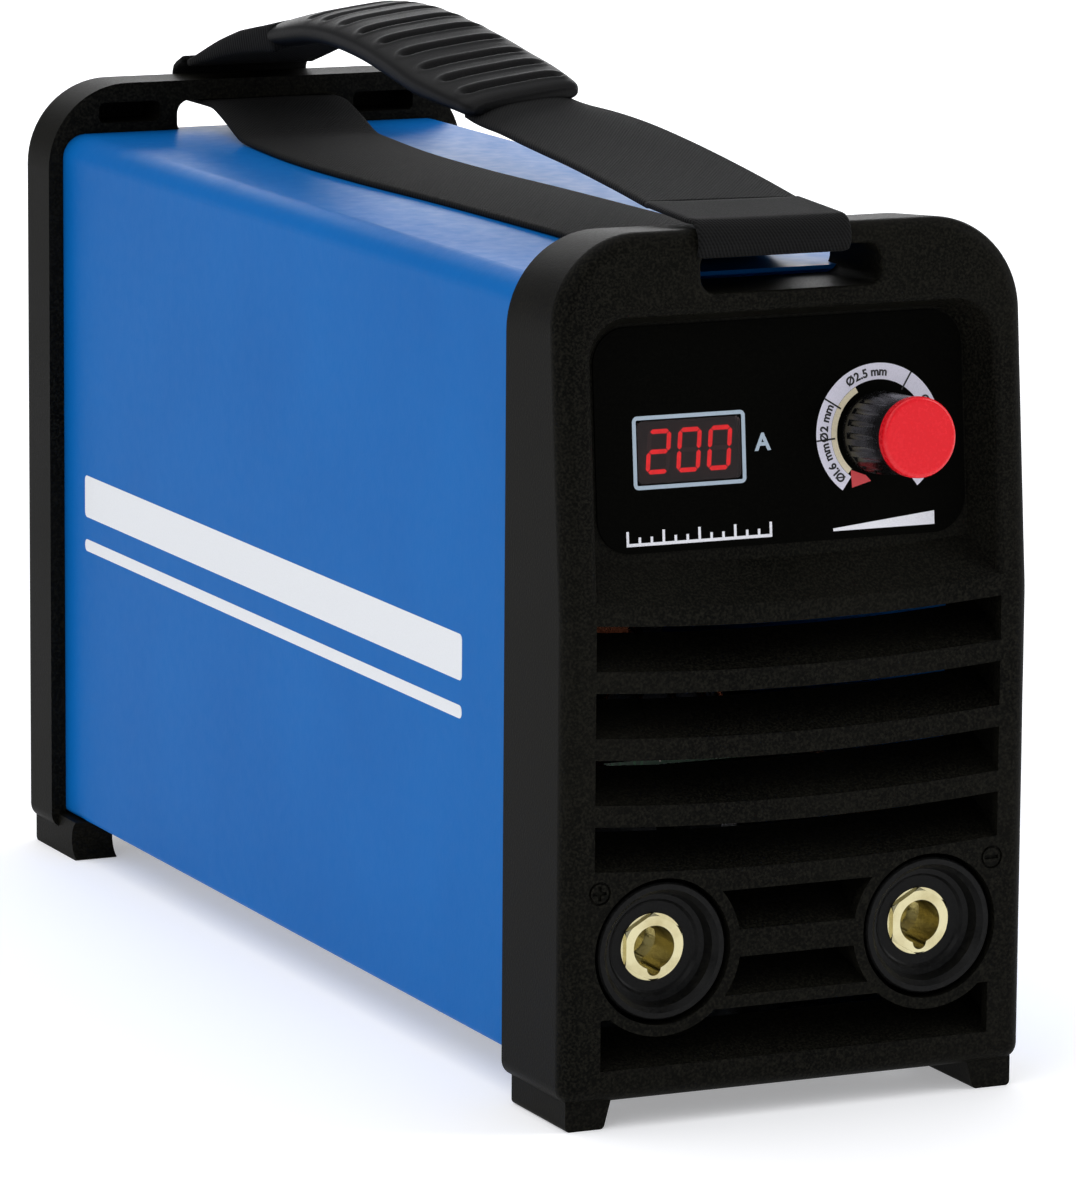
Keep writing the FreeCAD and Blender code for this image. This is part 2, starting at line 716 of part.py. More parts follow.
def busbar(side):
    """Copper strip from a socket's stud up to the front edge of the main board."""
    x = side * SOCKET_X
    upright = plate((x - 9, x + 9), (SOCKET_Z - 10, BOARD_TOP + 2.1), 1.0,
                    front_view(42.1), Y_AXIS * 2.0)
    level = box((x - 9, x + 9), (42.1, 92.0), (BOARD_TOP + 0.1, BOARD_TOP + 2.1))
    return fuse([upright, level]).cut(rod_y(5.2, x, SOCKET_Z, 40, 46))


def busbar_nut(side):
    x = side * SOCKET_X
    washer = rod_y(9.0, x, SOCKET_Z, 44.2, 45.8)
    nut = hexagon(16.0, Vector(x, 45.7, SOCKET_Z), Vector(x, 53.0, SOCKET_Z))
    return fuse([washer, nut]).cut(rod_y(5.0, x, SOCKET_Z, 40, 60))


def current_sensor():
    """Ring of a Hall sensor around the positive busbar's upright."""
    x, z = -SOCKET_X, 76.0
    case = box((x - 15, x + 15), (36.5, 50.5), (z - 5, z + 5))
    return case.cut(box((x - 9.4, x + 9.4), (41.7, 44.5), (z - 6, z + 6)))


# ---- power electronics ---------------------------------------------------------------------
def heatsink(side):
    web = box(sorted((side * 12.0, side * 17.0)), (SINK_FRONT, SINK_FRONT + SINK_LENGTH),
              (SINK_LOW + 0.1, SINK_HIGH))
    fins = []
    for row in range(FIN_COUNT):
        z = SINK_LOW + 0.1 + row * FIN_PITCH
        fins.append(box(sorted((side * 16.0, side * 60.0)),
                        (SINK_FRONT, SINK_FRONT + SINK_LENGTH), (z, z + FIN_THICK)))
    return fuse([web] + fins)


def transistor(side, y):
    """A TO-247 package on a heatsink's web, with three legs up into the board."""
    inner, outer = side * 6.9, side * 11.9
    case = box(sorted((inner, outer)), (y - 8, y + 8), (60.0, 81.0))
    legs = [box(sorted((side * 8.2, side * 8.9)), (y + step - 0.6, y + step + 0.6),
                (80.5, BOARD_TOP + 1.2)) for step in (-5.4, 0, 5.4)]
    return fuse([case] + legs)


def transistor_spots(side):
    return [(side, 105.0 + 34.0 * i) for i in range(4)]


def leg_holes():
    return [rod_z(1.0, side * 8.55, y + step, BOARD_Z - 1, BOARD_TOP + 1)
            for which in SIDES for side, y in transistor_spots(which) for step in (-5.4, 0, 5.4)]


def board_standoff_spots():
    return [(side * 40.0, y) for side in SIDES for y in (90.0, 270.0)]


def board_standoffs():
    """Pillars from the top fins up to the main board."""
    top_fin = SINK_LOW + 0.1 + (FIN_COUNT - 1) * FIN_PITCH + FIN_THICK
    return [hexagon(7.0, Vector(x, y, top_fin + 0.1), Vector(x, y, BOARD_Z - 0.05))
            for x, y in board_standoff_spots()]


def main_board():
    board = plate((-BOARD_HALF, BOARD_HALF), (BOARD_FRONT, BOARD_BACK), 3.0,
                  top_view(BOARD_Z), Z_AXIS * BOARD_THICK)
    return board.cut(leg_holes())


def capacitor(x, y):
    can = rod_z(15.0, x, y, BOARD_TOP + 0.1, BOARD_TOP + 48.0)
    rims = [edge for edge in can.Edges if edge.Curve.TypeId == "Part::GeomCircle"]
    can = can.makeFillet(1.6, rims)
    groove = Part.makeTorus(15.4, 0.9, Vector(x, y, BOARD_TOP + 5.5), Z_AXIS)
    return can.cut(groove)


def bulk_capacitors():
    return [capacitor(x, 292.0) for x in (-40.0, 0.0, 40.0)]


def bridge_rectifier():
    case = plate((20.0, 50.0), (232.0, 262.0), 2.0, top_view(BOARD_TOP + 0.1), Z_AXIS * 12.0)
    return case.cut(rod_z(2.5, 35.0, 247.0, BOARD_TOP - 1, BOARD_TOP + 14))


def inrush_relay():
    return plate((-48.0, -24.0), (236.0, 262.0), 1.0, top_view(BOARD_TOP + 0.1), Z_AXIS * 22.0)


def transformer_core():
    """Two E cores with legs around a central winding window."""
    x, y, z = (-27.5, 27.5), (150.0, 205.0), (BOARD_TOP + 3.0, BOARD_TOP + 45.0)
    block = box(x, y, z)
    windows = [box(sorted((side * 9.0, side * 18.5)), (y[0] - 1, y[1] + 1), (z[0] + 9, z[1] - 9))
               for side in SIDES]
    return block.cut(windows)


def transformer_winding():
    """Copper foil winding through the core's windows, bulging past both its faces."""
    z_low, z_high = BOARD_TOP + 12.6, BOARD_TOP + 35.4
    outer = plate((-18.0, 18.0), (136.0, 219.0), 9.0, top_view(z_low), Z_AXIS * (z_high - z_low))
    inner = plate((-9.5, 9.5), (149.5, 205.5), 1.0, top_view(z_low - 1),
                  Z_AXIS * (z_high - z_low + 2))
    return outer.cut(inner)


def choke_core():
    return Part.makeTorus(17.0, 7.0, Vector(0, 108.0, BOARD_TOP + 10.5), Z_AXIS)


def choke_winding():
    """Heavy turns around the toroid, each a closed ring of copper."""
    turns = []
    for i in range(12):
        angle = math.radians(40 + 280 * i / 11)
        centre = Vector(17.0 * math.cos(angle), 108.0 + 17.0 * math.sin(angle), BOARD_TOP + 10.5)
        tangent = Vector(-math.sin(angle), math.cos(angle), 0)
        turns.append(Part.makeTorus(8.6, 1.3, centre, tangent))
    return turns


def input_terminal():
    block = box((-50.0, -14.0), (324.0, 340.0), (100.0, 116.0))
    tray = box((-50.0, -14.0), (324.0, 340.0), (BASE_TOP + 0.1, 101.0))
    tray = tray.cut(box((-46.0, -18.0), (327.0, 341.0), (BASE_TOP - 1, 98.0)))
    holes = [rod_z(3.2, x, 332.0, 108.0, 118.0) for x in (-44.0, -32.0, -20.0)]
    ways = [rod_y(2.4, x, 106.0, 330.0, 345.0) for x in (-44.0, -32.0, -20.0)]
    return fuse([block, tray]).cut(holes + ways)


# ---- fan -----------------------------------------------------------------------------------
FAN_BACK = LENGTH - WALL - 0.1
FAN_FRONT = FAN_BACK - FAN_DEPTH


def fan_frame():
    half = FAN_SIZE / 2
    block = plate((-half, half), (FAN_Z - half, FAN_Z + half), 4.0, front_view(FAN_FRONT),
                  Y_AXIS * FAN_DEPTH)
    bore = rod_y(FAN_BORE, 0, FAN_Z, FAN_FRONT - 1, FAN_BACK + 1)
    waist = rod_y(60.0, 0, FAN_Z, FAN_FRONT + 4, FAN_BACK - 4).cut(
        rod_y(FAN_BORE + 1.6, 0, FAN_Z, FAN_FRONT, FAN_BACK))
    hub = rod_y(19.0, 0, FAN_Z, FAN_BACK - 3, FAN_BACK)
    struts = []
    for i in range(4):
        strut = box((-1.5, 1.5), (FAN_BACK - 2.4, FAN_BACK), (FAN_Z + 17, FAN_Z + FAN_BORE + 0.8))
        strut.rotate(Vector(0, 0, FAN_Z), Y_AXIS, 45 + 90 * i)
        struts.append(strut)
    body = fuse([block.cut([bore, waist]), hub] + struts)
    holes = [rod_y(2.05, x, z, FAN_FRONT - 1, FAN_BACK + 1) for x, z in fan_corners()]
    return body.cut(holes + [rod_y(1.55, 0, FAN_Z, FAN_BACK - 5, FAN_BACK - 0.6)])


def fan_blade(turn):
    """One twisted blade, from inside the hub to just short of the frame."""
    wires = []
    for radius, chord, pitch in ((17.5, 13.0, 42.0), (42.6, 21.0, 62.0)):
        angle = math.radians(pitch)
        chord_dir = Vector(math.sin(angle), math.cos(angle), 0)
        thick_dir = Vector(math.cos(angle), -math.sin(angle), 0) * 0.7
        centre = Vector(0, FAN_FRONT + 10.0, FAN_Z + radius)
        end = chord_dir * (chord / 2)
        corners = [centre - end - thick_dir, centre + end - thick_dir,
                   centre + end + thick_dir, centre - end + thick_dir]
        wires.append(Part.makePolygon(corners + corners[:1]))
    blade = Part.makeLoft(wires, True, True)
    blade.rotate(Vector(0, 0, FAN_Z), Y_AXIS, turn)
    return blade


def fan_rotor():
    hub = rod_y(19.0, 0, FAN_Z, FAN_FRONT + 1, FAN_BACK - 3.6)
    rim = [edge for edge in hub.Edges if edge.Curve.TypeId == "Part::GeomCircle"
           and edge.Curve.Center.y < FAN_FRONT + 2]
    hub = hub.makeFillet(2.0, rim)
    shaft = rod_y(1.5, 0, FAN_Z, FAN_BACK - 4, FAN_BACK - 0.8)
    return fuse([hub, shaft] + [fan_blade(360 / 7 * i) for i in range(7)])


def fan_screws():
    return [pan_screw(2.0, 3.6, 2.2, Vector(x, LENGTH - 18, z), Vector(x, LENGTH, z))
            for x, z in fan_corners()]


# ---- mains switch and cable gland ----------------------------------------------------------
SWITCH_PIVOT = Vector(SWITCH_X, LENGTH - 5.0, SWITCH_Z)


def switch_housing():
    bezel = plate((SWITCH_X - 13, SWITCH_X + 13), (SWITCH_Z - 17.5, SWITCH_Z + 17.5), 2.0,
                  front_view(LENGTH), Y_AXIS * 2.0)
    case = box((SWITCH_X - 11, SWITCH_X + 11), (LENGTH - 24, LENGTH + 1),
               (SWITCH_Z - 15, SWITCH_Z + 15))
    well = box((SWITCH_X - 9.2, SWITCH_X + 9.2), (LENGTH - 14, LENGTH + 5),
               (SWITCH_Z - 13.4, SWITCH_Z + 13.4))
    pivots = rod(1.55, SWITCH_PIVOT - X_AXIS * 10.4, SWITCH_PIVOT + X_AXIS * 10.4)
    tabs = [box((SWITCH_X + x - 3.2, SWITCH_X + x + 3.2), (LENGTH - 33, LENGTH - 23),
                (SWITCH_Z + z - 0.4, SWITCH_Z + z + 0.4))
            for x in (-5.5, 5.5) for z in (-9.0, 9.0)]
    return fuse([bezel, case] + tabs).cut([well, pivots])


def switch_rocker():
    """Shallow V-topped rocker with stub pins; it rests pressed at the top."""
    points = [(5.6, -12.0), (4.2, 0.0), (5.6, 12.0), (-3.0, 11.0), (-6.0, 0.0), (-3.0, -11.0)]
    place = side_view(SWITCH_X - 8.9)
    section = [place(SWITCH_PIVOT.y + y, SWITCH_Z + z) for y, z in points]
    block = Part.Face(Part.makePolygon(section + section[:1])).extrude(X_AXIS * 17.8)
    pins = rod(1.5, SWITCH_PIVOT - X_AXIS * 10.2, SWITCH_PIVOT + X_AXIS * 10.2)
    rocker = fuse([block, pins])
    rocker.rotate(SWITCH_PIVOT, X_AXIS, SWITCH_TILT)
    return rocker


def gland_body():
    collar = hexagon(26.0, Vector(GLAND_X, LENGTH + 0.05, GLAND_Z),
                     Vector(GLAND_X, LENGTH + 6, GLAND_Z))
    neck = rod_y(10.0, GLAND_X, GLAND_Z, LENGTH - 14, LENGTH + 1)
    nose = rod_y(10.0, GLAND_X, GLAND_Z, LENGTH + 5, LENGTH + 14)
    return fuse([collar, neck, nose]).cut(rod_y(6.2, GLAND_X, GLAND_Z, LENGTH - 20, LENGTH + 20))


def gland_dome_nut():
    start, end = LENGTH + 6.1, LENGTH + GLAND_REACH
    skirt = hexagon(26.0, Vector(GLAND_X, start, GLAND_Z), Vector(GLAND_X, start + 9, GLAND_Z))
    dome = Part.makeCone(12.6, 9.0, end - start - 8.5, Vector(GLAND_X, start + 8.5, GLAND_Z), Y_AXIS)
    nut = fuse([skirt, dome])
    inside = rod_y(10.1, GLAND_X, GLAND_Z, start - 1, LENGTH + 14.2)
    mouth = rod_y(6.2, GLAND_X, GLAND_Z, start, end + 1)
    return nut.cut([inside, mouth])


def gland_locknut():
    start = LENGTH - WALL - 5.1
    nut = hexagon(26.0, Vector(GLAND_X, start, GLAND_Z), Vector(GLAND_X, start + 5, GLAND_Z))
    return nut.cut(rod_y(10.1, GLAND_X, GLAND_Z, start - 1, start + 7))


# ---- strap ---------------------------------------------------------------------------------
BAR_TOP = HEIGHT + STRAP_GAP + STRAP / 2
BAR_UNDER = SLOT_HIGH - STRAP_GAP - STRAP / 2
BAR_FRONT = face_y(255.0) - STRAP_GAP - STRAP / 2
BAR_BACK = LENGTH + STRAP_GAP + STRAP / 2
ON_COVER = COVER_TOP + 0.4 + STRAP / 2
LEG_START = 52.0
LEG_END = 424.0

UPPER_POINTS = [(LEG_START, BAR_TOP), (GRIP_FRONT, 273.6), (262.0, 281.9), (322.0, 288.6),
                (385.0, 277.6), (BAR_BACK, 259.8)]
UPPER_RADII = [0, 400.0, 300.0, 300.0, 200.0, 0]
LOWER_POINTS = [(LEG_START, BAR_TOP), (BAR_FRONT, BAR_TOP), (BAR_FRONT, BAR_UNDER),
                (26.0, BAR_UNDER), (66.0, ON_COVER), (366.0, ON_COVER), (403.0, BAR_UNDER),
                (BAR_BACK, BAR_UNDER), (BAR_BACK, 261.9), (LEG_END, 266.2)]
LOWER_RADII = [0, 6.2, 2.7, 30.0, 60.0, 60.0, 30.0, 2.7, 5.5, 0]


def band(points, radii, thick, width):
    """A flat band of given thickness and width along a path in the middle plane."""
    path = rounded_wire(points, radii, side_view(0), closed=False)
    low = path.makeOffset2D(-thick / 2, 0, False, True)
    face = low.makeOffset2D(thick, 0, True, True)
    face.translate(X_AXIS * (-width / 2))
    return face.extrude(X_AXIS * width)


def between(y_from, y_to):
    return box((-80, 80), (y_from, y_to), (0, 400))


def strap_lower():
    return band(LOWER_POINTS, LOWER_RADII, STRAP, STRAP_WIDTH)


def upper_band(thick, width, y_from, y_to):
    return band(UPPER_POINTS, UPPER_RADII, thick, width).common(between(y_from, y_to))


def strap_grip():
    sleeve = upper_band(GRIP_THICK, GRIP_WIDTH, GRIP_FRONT, GRIP_BACK)
    long_edges = [edge for edge in sleeve.Edges if abs(abs(edge.CenterOfMass.x) - GRIP_WIDTH / 2) < 0.01
                  and edge.BoundBox.YLength > 5]
    sleeve = sleeve.makeFillet(3.5, long_edges)
    tunnel = upper_band(CORE_THICK + 0.4, CORE_WIDTH + 0.6, GRIP_FRONT - 5, GRIP_BACK + 5)
    return sleeve.cut(tunnel)


# ---- write every sub-part ------------------------------------------------------------------
def group(solids):
    return Part.makeCompound(solids)


def main():
    os.makedirs("parts", exist_ok=True)
    pieces = {
        "front_panel": front_panel(),
        "rear_panel": rear_panel(),
        "cover": cover(),
        "base_plate": base_plate(),
        "cover_screws": group(cover_screws()),
        "base_screws": group(base_screws()),
        "control_overlay": control_overlay(),
        "display_window": display_window(),
        "display_module": display_module(),
        "control_board": control_board(),
        "control_standoffs": group(control_standoffs()),
        "potentiometer_body": potentiometer(),
        "potentiometer_nut": potentiometer_nut(),
        "potentiometer_shaft": potentiometer_shaft(),
        "knob_body": knob_body(),
        "knob_cap": knob_cap(),
        "socket_positive": socket_body(-1),
        "socket_negative": socket_body(1),
        "socket_insulator_left": socket_insulator(-1),
        "socket_insulator_right": socket_insulator(1),
        "socket_locknuts": group([socket_locknut(side) for side in SIDES]),
        "busbar_positive": busbar(-1),
        "busbar_negative": busbar(1),
        "busbar_nuts": group([busbar_nut(side) for side in SIDES]),
        "current_sensor": current_sensor(),
        "heatsink_left": heatsink(-1),
        "heatsink_right": heatsink(1),
        "power_transistors": group([transistor(*spot) for spot in transistor_spots(-1)]),
        "output_diodes": group([transistor(*spot) for spot in transistor_spots(1)]),
        "main_board": main_board(),
        "board_standoffs": group(board_standoffs()),
        "bulk_capacitors": group(bulk_capacitors()),
        "bridge_rectifier": bridge_rectifier(),
        "inrush_relay": inrush_relay(),
        "transformer_core": transformer_core(),
        "transformer_winding": transformer_winding(),
        "choke_core": choke_core(),
        "choke_winding": group(choke_winding()),
        "input_terminal": input_terminal(),
        "fan_frame": fan_frame(),
        "fan_rotor": fan_rotor(),
        "fan_screws": group(fan_screws()),
        "switch_housing": switch_housing(),
        "switch_rocker": switch_rocker(),
        "gland_body": gland_body(),
        "gland_dome_nut": gland_dome_nut(),
        "gland_locknut": gland_locknut(),
        "strap_lower": strap_lower(),
        "strap_front_leg": upper_band(STRAP, STRAP_WIDTH, LEG_START, GRIP_FRONT),
        "strap_rear_leg": upper_band(STRAP, STRAP_WIDTH, GRIP_BACK, LEG_END),
        "strap_core": upper_band(CORE_THICK, CORE_WIDTH, GRIP_FRONT + 0.2, GRIP_BACK - 0.2),
        "strap_grip": strap_grip(),
    }
    for name, shape in pieces.items():
        kinds = "solids " + str(len(shape.Solids))
        print(name, kinds, "valid", shape.isValid(), "volume", round(shape.Volume))
        save(name, shape)


main()
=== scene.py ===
"""Looks of the stick welding inverter: finishes, printed marks, webbing strap and studio.

Sizes are in millimetres, in the machine's own axes: x to the right of someone facing the front,
y back from the lower front face, z up from the floor. at() turns them into the frame's metres.
"""
import json
import math

import bmesh
import bpy
import numpy as np
from mathutils import Matrix, Vector


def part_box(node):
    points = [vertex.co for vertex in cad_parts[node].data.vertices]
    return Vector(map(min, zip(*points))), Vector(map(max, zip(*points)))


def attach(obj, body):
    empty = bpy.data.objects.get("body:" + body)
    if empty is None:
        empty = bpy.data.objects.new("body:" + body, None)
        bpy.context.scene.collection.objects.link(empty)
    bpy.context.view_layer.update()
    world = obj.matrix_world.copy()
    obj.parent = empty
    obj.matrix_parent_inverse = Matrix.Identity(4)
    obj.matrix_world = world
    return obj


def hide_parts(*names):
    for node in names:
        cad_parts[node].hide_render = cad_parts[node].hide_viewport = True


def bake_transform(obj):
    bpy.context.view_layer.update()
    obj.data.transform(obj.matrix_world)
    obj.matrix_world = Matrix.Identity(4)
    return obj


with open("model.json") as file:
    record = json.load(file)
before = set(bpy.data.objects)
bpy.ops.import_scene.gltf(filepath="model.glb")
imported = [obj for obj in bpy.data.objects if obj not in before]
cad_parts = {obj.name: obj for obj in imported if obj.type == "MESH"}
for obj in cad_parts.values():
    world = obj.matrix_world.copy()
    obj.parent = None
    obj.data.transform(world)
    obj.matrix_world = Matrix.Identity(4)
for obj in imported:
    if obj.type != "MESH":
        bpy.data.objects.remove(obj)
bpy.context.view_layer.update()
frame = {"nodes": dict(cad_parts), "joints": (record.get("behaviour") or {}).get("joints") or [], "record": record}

MM = 0.001
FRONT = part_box("front_panel")[0].y


def at(x, y, z):
    return Vector((x * MM, FRONT + y * MM, z * MM))


def srgb(red, green, blue):
    """A colour as a screen shows it, 0 to 255, in the linear values that shaders take."""
    shares = (value / 255 for value in (red, green, blue))
    return tuple(s / 12.92 if s <= 0.04045 else ((s + 0.055) / 1.055) ** 2.4 for s in shares) + (1.0,)


def dimmed(colour, share):
    """A colour with its red, green and blue multiplied by share."""
    return tuple(value * share for value in colour[:3]) + (1.0,)


# ---- finishes ------------------------------------------------------------------------------
class Finish:
    """A procedural material built around one Principled shader. Patterns are sized in metres."""

    def __init__(self, name, **sockets):
        self.material = bpy.data.materials.new(name)
        self.material.use_nodes = True
        self.tree = self.material.node_tree
        self.shader = self.tree.nodes["Principled BSDF"]
        self.place = self.node("TexCoord").outputs["Object"]
        self.set(self.shader, sockets)

    def set(self, node, inputs):
        """Links or sets sockets, each by its name or number."""
        for name, value in inputs.items():
            socket = node.inputs[name.replace("_", " ") if isinstance(name, str) else name]
            if isinstance(value, bpy.types.NodeSocket):
                self.tree.links.new(value, socket)
            else:
                socket.default_value = value

    def node(self, kind, inputs=None, **settings):
        """A new shader node. settings are its own properties, inputs its sockets."""
        made = self.tree.nodes.new("ShaderNode" + kind)
        for name, value in settings.items():
            setattr(made, name, value)
        self.set(made, inputs or {})
        return made

    def stretched(self, x, y, z):
        """The object's own coordinates, multiplied along each axis."""
        return self.node("Mapping", {"Vector": self.place, "Scale": (x, y, z)}).outputs["Vector"]

    def noise(self, size, detail=2.0, place=None):
        """Cloudy values about 0.5, whose features are size millimetres across."""
        inputs = {"Vector": place or self.place, "Scale": 1 / (size * MM), "Detail": detail}
        return self.node("TexNoise", inputs).outputs["Fac"]

    def cells(self, size):
        """How far each point is from the middle of its cell, for cells size millimetres across."""
        inputs = {"Vector": self.place, "Scale": 1 / (size * MM)}
        return self.node("TexVoronoi", inputs).outputs["Distance"]

    def bands(self, size, direction, place=None, profile="SIN"):
        """Parallel ridges, one every size millimetres. At scale 1 Blender's are 2 pi / 20 apart."""
        inputs = {"Vector": place or self.place, "Scale": 2 * math.pi / (20 * size * MM)}
        wave = self.node("TexWave", inputs, bands_direction=direction, wave_profile=profile)
        return wave.outputs["Fac"]

    def ramp(self, value, *stops):
        """Colours or grey levels picked by value; stops are (position, colour or level)."""
        made = self.node("ValToRGB", {"Fac": value})
        points = made.color_ramp.elements
        while len(points) < len(stops):
            points.new(1.0)
        for point, (position, colour) in zip(points, stops):
            point.position = position
            point.color = colour if isinstance(colour, tuple) else (colour, colour, colour, 1.0)
        return made.outputs["Color"]

    def math(self, operation, first, second):
        return self.node("Math", {0: first, 1: second}, operation=operation).outputs["Value"]

    def mix(self, share, first, second):
        inputs = {"Fac": share, "Color1": first, "Color2": second}
        return self.node("MixRGB", inputs).outputs["Color"]

    def bump(self, height, depth, normal=None):
        """A relief of the given depth in millimetres."""
        inputs = {"Height": height, "Distance": depth * MM, "Strength": 1.0}
        if normal is not None:
            inputs["Normal"] = normal
        return self.node("Bump", inputs).outputs["Normal"]

    def paint(self, **sockets):
        """The finished material, once these patterns are on its shader."""
        self.set(self.shader, sockets)
        return self.material


def moulded(name, dark, lit, grain, depth, gloss, rough, shine=0.06):
    """Injection-moulded plastic: spark-eroded pits, faint flow marks and handled patches. The pits are real
    relief, but their lighter colour, lit, is a painted glint, as if they caught warm light.
    """
    f = Finish(name, Specular_IOR_Level=shine)
    pits = f.noise(grain, 3.0)
    patches = f.noise(45.0, 3.0)
    # Painted glint: lit is the colour of a pit catching warm light, set over the pits' own dark colour.
    colour = f.ramp(pits, (0.42, dark), (0.72, lit))
    return f.paint(
        Base_Color=f.mix(f.ramp(patches, (0.3, 0.0), (0.8, 0.35)), colour, lit),
        Roughness=f.ramp(f.math("ADD", pits, f.math("MULTIPLY", patches, 0.4)), (0.4, gloss), (0.9, rough)),
        Normal=f.bump(pits, depth),
    )


def powder_coat(name, colour, pale):
    """Powder coat on sheet steel: fine orange peel under a hard, faintly uneven gloss."""
    f = Finish(name, Specular_IOR_Level=0.03)
    peel = f.noise(1.6, 2.0)
    wide = f.noise(70.0, 2.0)
    return f.paint(
        Base_Color=f.ramp(wide, (0.3, colour), (0.9, pale)),
        Roughness=f.ramp(f.noise(5.0, 3.0), (0.3, 0.36), (0.8, 0.46)),
        Normal=f.bump(peel, 0.035),
    )


def metal(name, colour, tarnish, gloss, rough, stretch, size, depth):
    """Worked metal with tool marks drawn out along one direction, and tarnish in scattered stains."""
    f = Finish(name, Metallic=1.0)
    marks = f.noise(size, 4.0, f.stretched(*stretch))
    stains = f.noise(9.0, 4.0)
    return f.paint(
        Base_Color=f.mix(f.ramp(stains, (0.45, 0.0), (0.75, 0.7)), colour, tarnish),
        Roughness=f.ramp(marks, (0.3, gloss), (0.75, rough)),
        Normal=f.bump(marks, depth),
    )


def circuit_board():
    """Green solder mask over copper traces, with bare tinned pads."""
    f = Finish("solder_mask", Coat_Weight=0.4, Coat_Roughness=0.15)
    lanes = f.bands(2.4, "X", profile="SAW")
    crossings = f.bands(3.1, "Y", profile="SAW")
    fields = f.cells(11.0)
    traces = f.math("GREATER_THAN", f.mix(f.math("GREATER_THAN", fields, 0.45), lanes, crossings), 0.62)
    pads = f.math("LESS_THAN", f.cells(2.6), 0.16)
    mask = f.mix(traces, srgb(14, 72, 38), srgb(30, 108, 58))
    return f.paint(
        Base_Color=f.mix(pads, mask, srgb(190, 186, 170)),
        Metallic=pads,
        Roughness=f.ramp(f.noise(3.0), (0.3, 0.32), (0.8, 0.48)),
        Normal=f.bump(traces, 0.04),
    )


def smoked_lens():
    """Clear red-brown acrylic with the faintest waviness."""
    f = Finish("smoked_lens", Roughness=0.03, IOR=1.49, Transmission_Weight=1.0)
    tint = f.ramp(f.noise(6.0), (0.3, (0.62, 0.40, 0.38, 1)), (0.8, (0.66, 0.44, 0.42, 1)))
    return f.paint(Base_Color=tint, Normal=f.bump(f.noise(4.0), 0.002))


def printed(name, colour, wear=0.12, rough=0.55):
    """Screen-printed ink: dense, with a slight grain where the film shows through."""
    f = Finish(name)
    grain = f.noise(0.35, 3.0)
    worn = dimmed(colour, 1 - wear)
    return f.paint(
        Base_Color=f.ramp(grain, (0.3, worn), (0.6, colour)),
        Roughness=f.ramp(grain, (0.3, rough), (0.8, rough + 0.1)),
        Normal=f.bump(grain, 0.006),
    )


def glowing(name, colour, strength):
    """A lit bar of the display, a little uneven, as the diffuser spreads each lamp."""
    f = Finish(name, Roughness=0.5, Emission_Strength=strength)
    glow = f.ramp(f.noise(1.8, 1.0), (0.3, dimmed(colour, 0.82)), (0.7, colour))
    return f.paint(Base_Color=glow, Emission_Color=glow)


def woven():
    """Black nylon webbing in a fine twill. weave holds (across, along) in metres on each piece."""
    f = Finish("twill_webbing", Sheen_Weight=0.01, Sheen_Roughness=0.45, Specular_IOR_Level=0.06)
    weave = f.node("Attribute", attribute_name="weave").outputs["Vector"]
    turned = f.node("Mapping", {"Vector": weave, "Rotation": (0, 0, math.radians(33))}).outputs["Vector"]
    ridges = f.bands(0.95, "X", turned)
    yarns = f.bands(0.8, "Y", weave)
    fuzz = f.noise(0.5, 3.0)
    relief = f.math("ADD", ridges, f.math("MULTIPLY", yarns, 0.35))
    # Painted shade: the twill's grooves are painted darker and its ridges lighter, following the relief.
    colour = f.ramp(relief, (0.15, srgb(9, 9, 9)), (0.95, srgb(25, 25, 25)))
    return f.paint(
        Base_Color=f.mix(f.ramp(fuzz, (0.4, 0.0), (0.8, 0.4)), colour, srgb(30, 30, 30)),
        Roughness=f.ramp(fuzz, (0.3, 0.72), (0.8, 0.9)),
        Normal=f.bump(relief, 0.12, f.bump(fuzz, 0.03)),
    )
